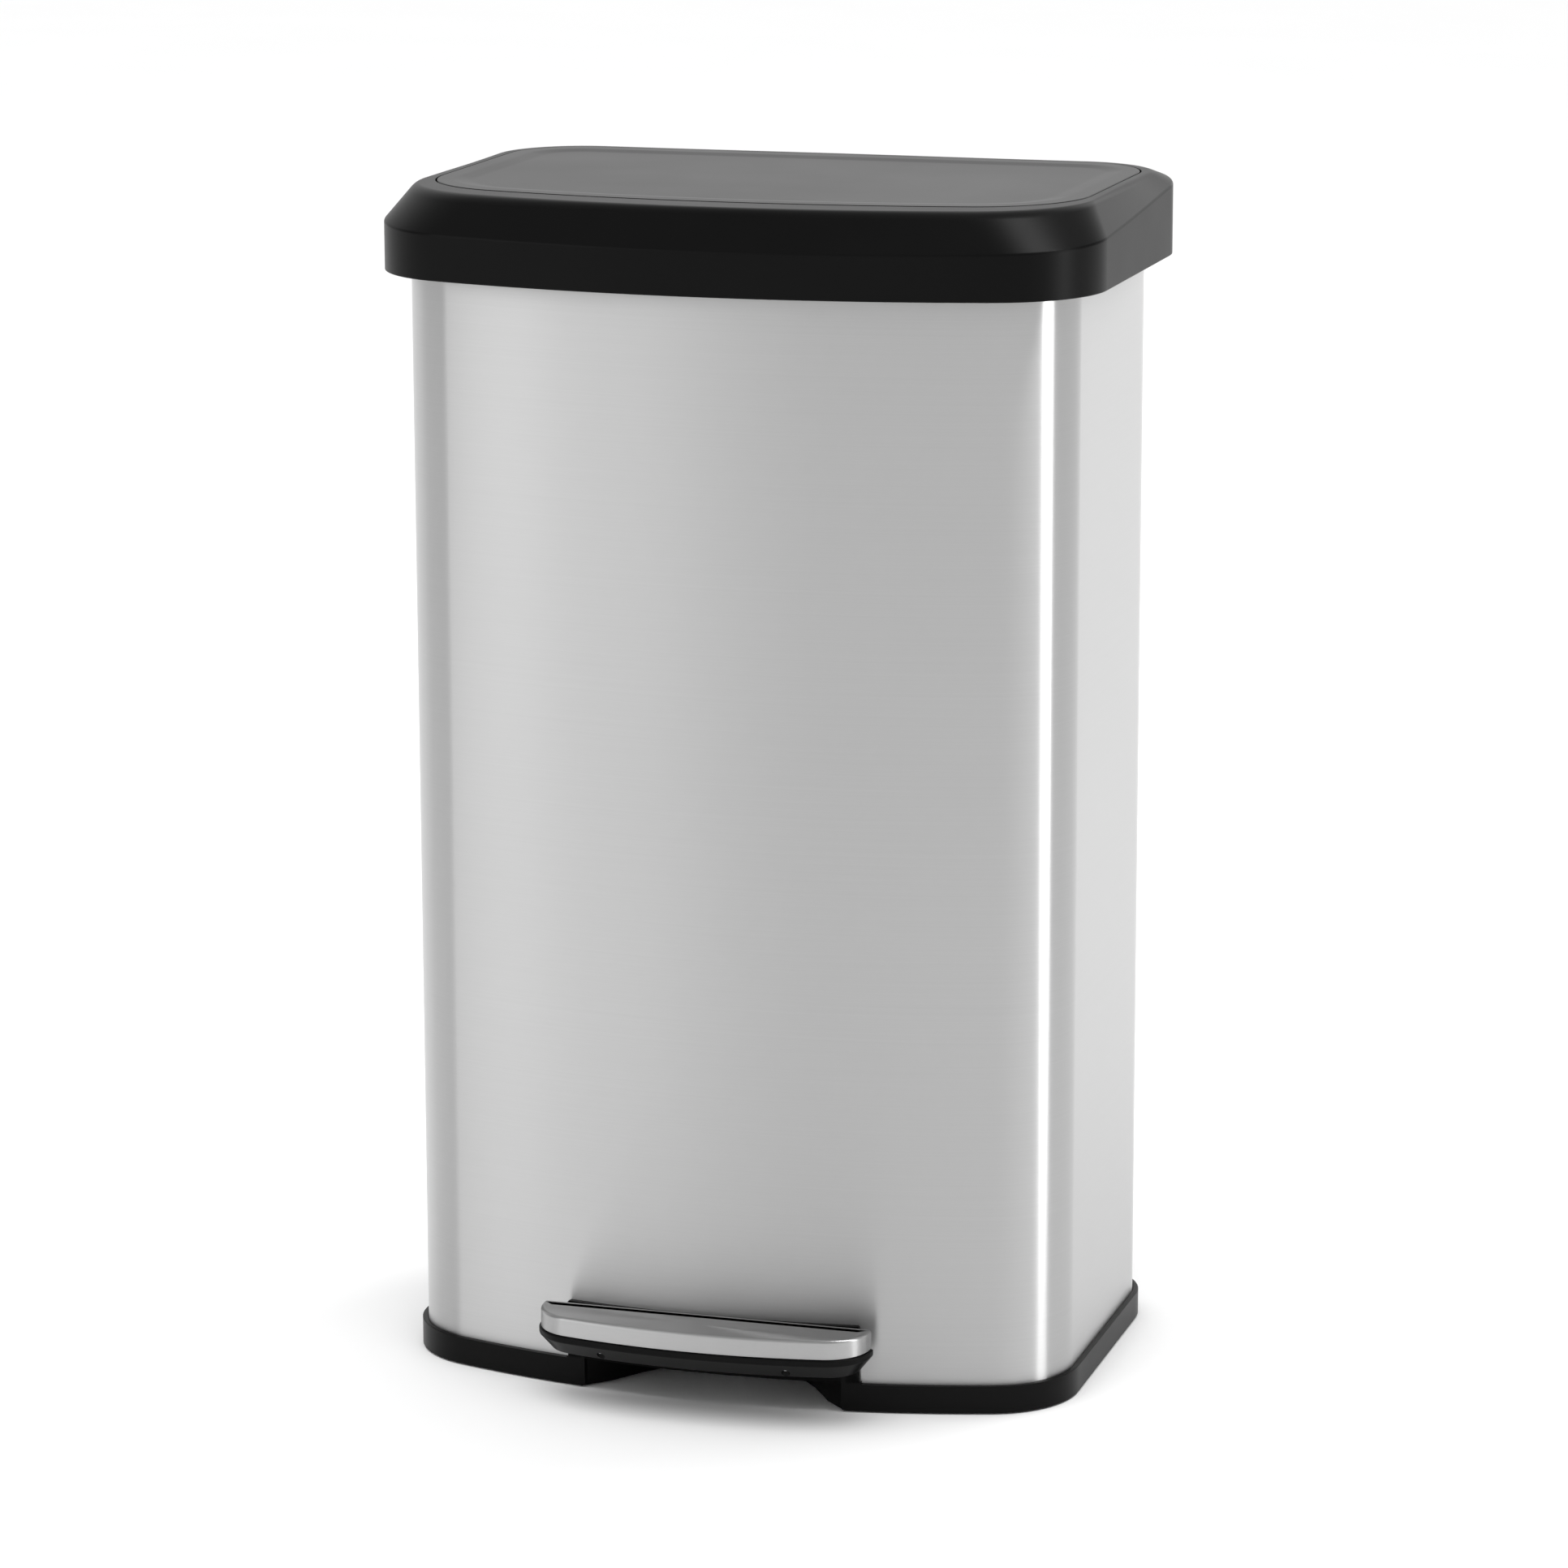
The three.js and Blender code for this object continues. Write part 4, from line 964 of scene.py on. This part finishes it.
screwTree = buildScrewTree()
screwKinds = {
    "small": {"Head Radius": 3.6, "Head Height": 2.0, "Shank Radius": 1.7, "Recess Width": 0.9},
    "pan": {"Head Radius": 4.2, "Head Height": 2.2, "Shank Radius": 2.0, "Recess Width": 1.0},
    "thin": {"Head Radius": 2.1, "Head Height": 1.2, "Shank Radius": 1.5, "Recess Width": 0.6},
}
# The heads sit on the inner floor's top, the housing's rear, the crank's flange and the seats in the pedal.
seats = {
    "floor": 61 + fitGap, "housing": hinge["housingRear"] + fitGap, "housingX": 80, "housingZ": (569, 581),
    "crank": 631 - fitGap, "crankY": 108, "crankX": (13.5, 27), "pedal": pedal["screwSeat"] - fitGap,
}
screwSets = [
    {"name": "floorScrews", "kind": "small", "length": 12, "body": "root", "turn": (0, 0, 0.4),
     "places": [(x, y, seats["floor"]) for x, y in postPlaces],
     "nodes": [f"floor_screw_{i}" for i in range(1, 5)]},
    {"name": "housingScrews", "kind": "pan", "length": 20, "body": "root", "turn": (-math.pi / 2, 0, 0),
     "places": [(x, seats["housing"], z) for x in bothSides(seats["housingX"]) for z in seats["housingZ"]],
     "nodes": [f"housing_screw_{i}" for i in range(1, 5)]},
    {"name": "crankScrews", "kind": "small", "length": 7, "body": "lid", "turn": (math.pi, 0, 0.2),
     "places": [(x, seats["crankY"], seats["crank"]) for x in seats["crankX"]],
     "nodes": ["crank_screw_1", "crank_screw_2"]},
    {"name": "pedalScrews", "kind": "thin", "length": 12, "body": "pedal", "turn": (math.pi, 0, 0.3),
     "places": [(x, pedal["screwY"], seats["pedal"]) for x in bothSides(pedal["screwX"])],
     "nodes": ["pedal_screw_left", "pedal_screw_right"]},
]


def makeScrews(kit):
    bm = bmesh.new()
    for place in kit["places"]:
        bm.verts.new(place)
    made = objectFrom(bm, kit["name"], weld=False)
    setter = made.modifiers.new("screws", "NODES")
    setter.node_group = screwTree
    items = screwTree.interface.items_tree
    sockets = {item.name: item.identifier for item in items if item.in_out == "INPUT"}
    for name, value in {**screwKinds[kit["kind"]], "Length": kit["length"]}.items():
        setter[sockets[name]] = value * mm
    setter[sockets["Turn"]] = kit["turn"]
    setter[sockets["Material"]] = materials["zinc_steel"]
    applied(made)
    return finishPiece(made, kit["body"], "zinc_steel", materials["zinc_steel"], *kit["nodes"], smooth=False)


for screwSet in screwSets:
    makeScrews(screwSet)
print("rubber pieces and screws made")


# The mechanism keeps its own shapes and takes the finish that its slot names.
def dressMechanism():
    for part in frame["record"]["subparts"]:
        mesh = frame["nodes"][part["node"]].data
        mesh.materials.clear()
        mesh.materials.append(materials[part["material_slot"]])


dressMechanism()


# Floor, light and camera
studio = {
    "floorHalf": 40.0, "floorShade": 0.9, "floorSpread": 0.004,
    # each wall stop is degrees from straight ahead of the front, positive to the right, and a brightness
    "walls": [
        (-180, 1.0), (-150, 0.9), (-112, 0.8), (-98, 0.3), (-61, 0.25), (-56, 1.5), (-50, 2.0),
        (-44, 2.0), (-38, 1.5), (-26, 1.35), (-15, 0.9), (-4, 0.6), (10, 0.55), (40, 0.55),
        (72, 0.5), (104, 0.3), (150, 0.25), (158, 0.6), (171, 2.2), (180, 0.95),
    ],
    "wallTop": (0.5, 0.66), "ceilingFront": 0.5, "ceilingRear": 0.55, "ceilingEdge": 0.4,
}


def makeFloor():
    half = studio["floorHalf"]
    bm = bmesh.new()
    bm.faces.new([bm.verts.new((x, y, 0)) for x, y in rectangle((-half, half), (-half, half))])
    mesh = bpy.data.meshes.new("floor")
    bm.to_mesh(mesh)
    bm.free()
    floor = bpy.data.objects.new("floor", mesh)
    bpy.context.scene.collection.objects.link(floor)

    def paper(maker, place, look):
        fibres = maker.noise(place, 3.0, 3)
        tone = maker.spreadRound(fibres, 0.3, 0.7, look["floorShade"], look["floorSpread"])
        colour = maker.mixColour(tone, grey(0), grey(1))
        return maker.add("ShaderNodeBsdfDiffuse", None, {"Color": colour})

    mesh.materials.append(newMaterial("floorPaper", paper, studio))


def makeRoom():
    world = bpy.data.worlds.new("room")
    bpy.context.scene.world = world
    world.use_nodes = True
    maker = NodeMaker(world.node_tree)
    direction = maker.add("ShaderNodeTexCoord", output="Generated")
    split = maker.tree.nodes.new("ShaderNodeSeparateXYZ")
    maker.tree.links.new(direction.socket, split.inputs[0])
    x, y, z = [Wire(maker, out) for out in split.outputs]
    azimuth = maker.add("ShaderNodeMath", {"operation": "ARCTAN2"}, {0: x, 1: y * -1.0})
    turn = azimuth * (0.5 / math.pi) + 0.5
    brightest = max(shade for _, shade in studio["walls"])
    stops = [(degrees / 360 + 0.5, shade / brightest) for degrees, shade in studio["walls"]]
    walls = maker.add("ShaderNodeValToRGB", {"stops": stops}, {"Fac": turn})
    edge = studio["ceilingEdge"]
    ceilingShades = (studio["ceilingFront"] / brightest, studio["ceilingRear"] / brightest)
    ceiling = maker.remap(y, -edge, edge, *ceilingShades)
    height = maker.remap(z, *studio["wallTop"], 0, 1)
    sky = maker.mixColour(height, walls, ceiling)
    room = maker.add("ShaderNodeBackground", None, {"Color": sky, "Strength": brightest})
    maker.add("ShaderNodeOutputWorld", None, {"Surface": room})


softLights = [
    {"name": "keyLight", "place": (1.9, 2.2, 3.6), "aim": (0, 0, 0.2), "size": (1.8, 1.8), "watts": 42,
     "lights": True, "shows": False},
    {"name": "fillLight", "place": (0, -1.1, 2.8), "aim": (0, -0.3, 0), "size": (2.4, 2.4), "watts": 24,
     "lights": True, "shows": False},
    {"name": "stripCard", "place": (1.15, -0.085, 0.78), "aim": (0.17, -0.1, 0.78), "size": (0.24, 1.56),
     "watts": 5.6, "lights": False, "shows": True},
    {"name": "lidCard", "place": (0.78, 0.0, 1.75), "aim": (0.18, -0.09, 0.64), "size": (0.34, 0.6),
     "watts": 7, "lights": False, "shows": True},
]
overhead = {"strength": 1.6, "softness": 110}


def addLight(name, kind, lights, shows):
    data = bpy.data.lights.new(name, kind)
    light = bpy.data.objects.new(name, data)
    light.visible_camera = False
    light.visible_diffuse = lights  # a card shows in reflections and lights nothing
    light.visible_glossy = shows
    bpy.context.scene.collection.objects.link(light)
    return light


def makeLights():
    for lamp in softLights:
        light = addLight(lamp["name"], "AREA", lamp["lights"], lamp["shows"])
        light.data.shape = "RECTANGLE"
        light.data.size, light.data.size_y = lamp["size"]
        light.data.energy = lamp["watts"]
        light.location = lamp["place"]
        towards = Vector(lamp["aim"]) - Vector(lamp["place"])
        light.rotation_euler = towards.to_track_quat("-Z", "Y").to_euler()
    above = addLight("overheadLight", "SUN", lights=True, shows=False)
    above.location = (0, 0, 3)
    above.data.energy = overhead["strength"]
    above.data.angle = math.radians(overhead["softness"])


view = {"place": (0.9022, -2.95625, 1.0168), "turn": 16.81, "back": (0.2821, -0.9338, 0.2200), "roll": 0.14,
        "lens": 132.49, "sensor": 36}


def makeCamera():
    data = bpy.data.cameras.new("camera")
    data.lens = view["lens"]
    data.sensor_width = view["sensor"]
    camera = bpy.data.objects.new("camera", data)
    turn, roll = math.radians(view["turn"]), math.radians(view["roll"])
    back = Vector(view["back"]).normalized()
    right = Vector((math.cos(turn), math.sin(turn), 0))
    right = (right - back * right.dot(back)).normalized()
    up = back.cross(right)
    across = right * math.cos(roll) - up * math.sin(roll)
    upward = right * math.sin(roll) + up * math.cos(roll)
    axes = Matrix((across, upward, back)).transposed().to_4x4()
    camera.matrix_world = Matrix.Translation(view["place"]) @ axes
    bpy.context.scene.collection.objects.link(camera)
    bpy.context.scene.camera = camera


makeFloor()
makeRoom()
makeLights()
makeCamera()
bpy.context.scene.view_settings.view_transform = "Standard"
print("floor, light and camera made")
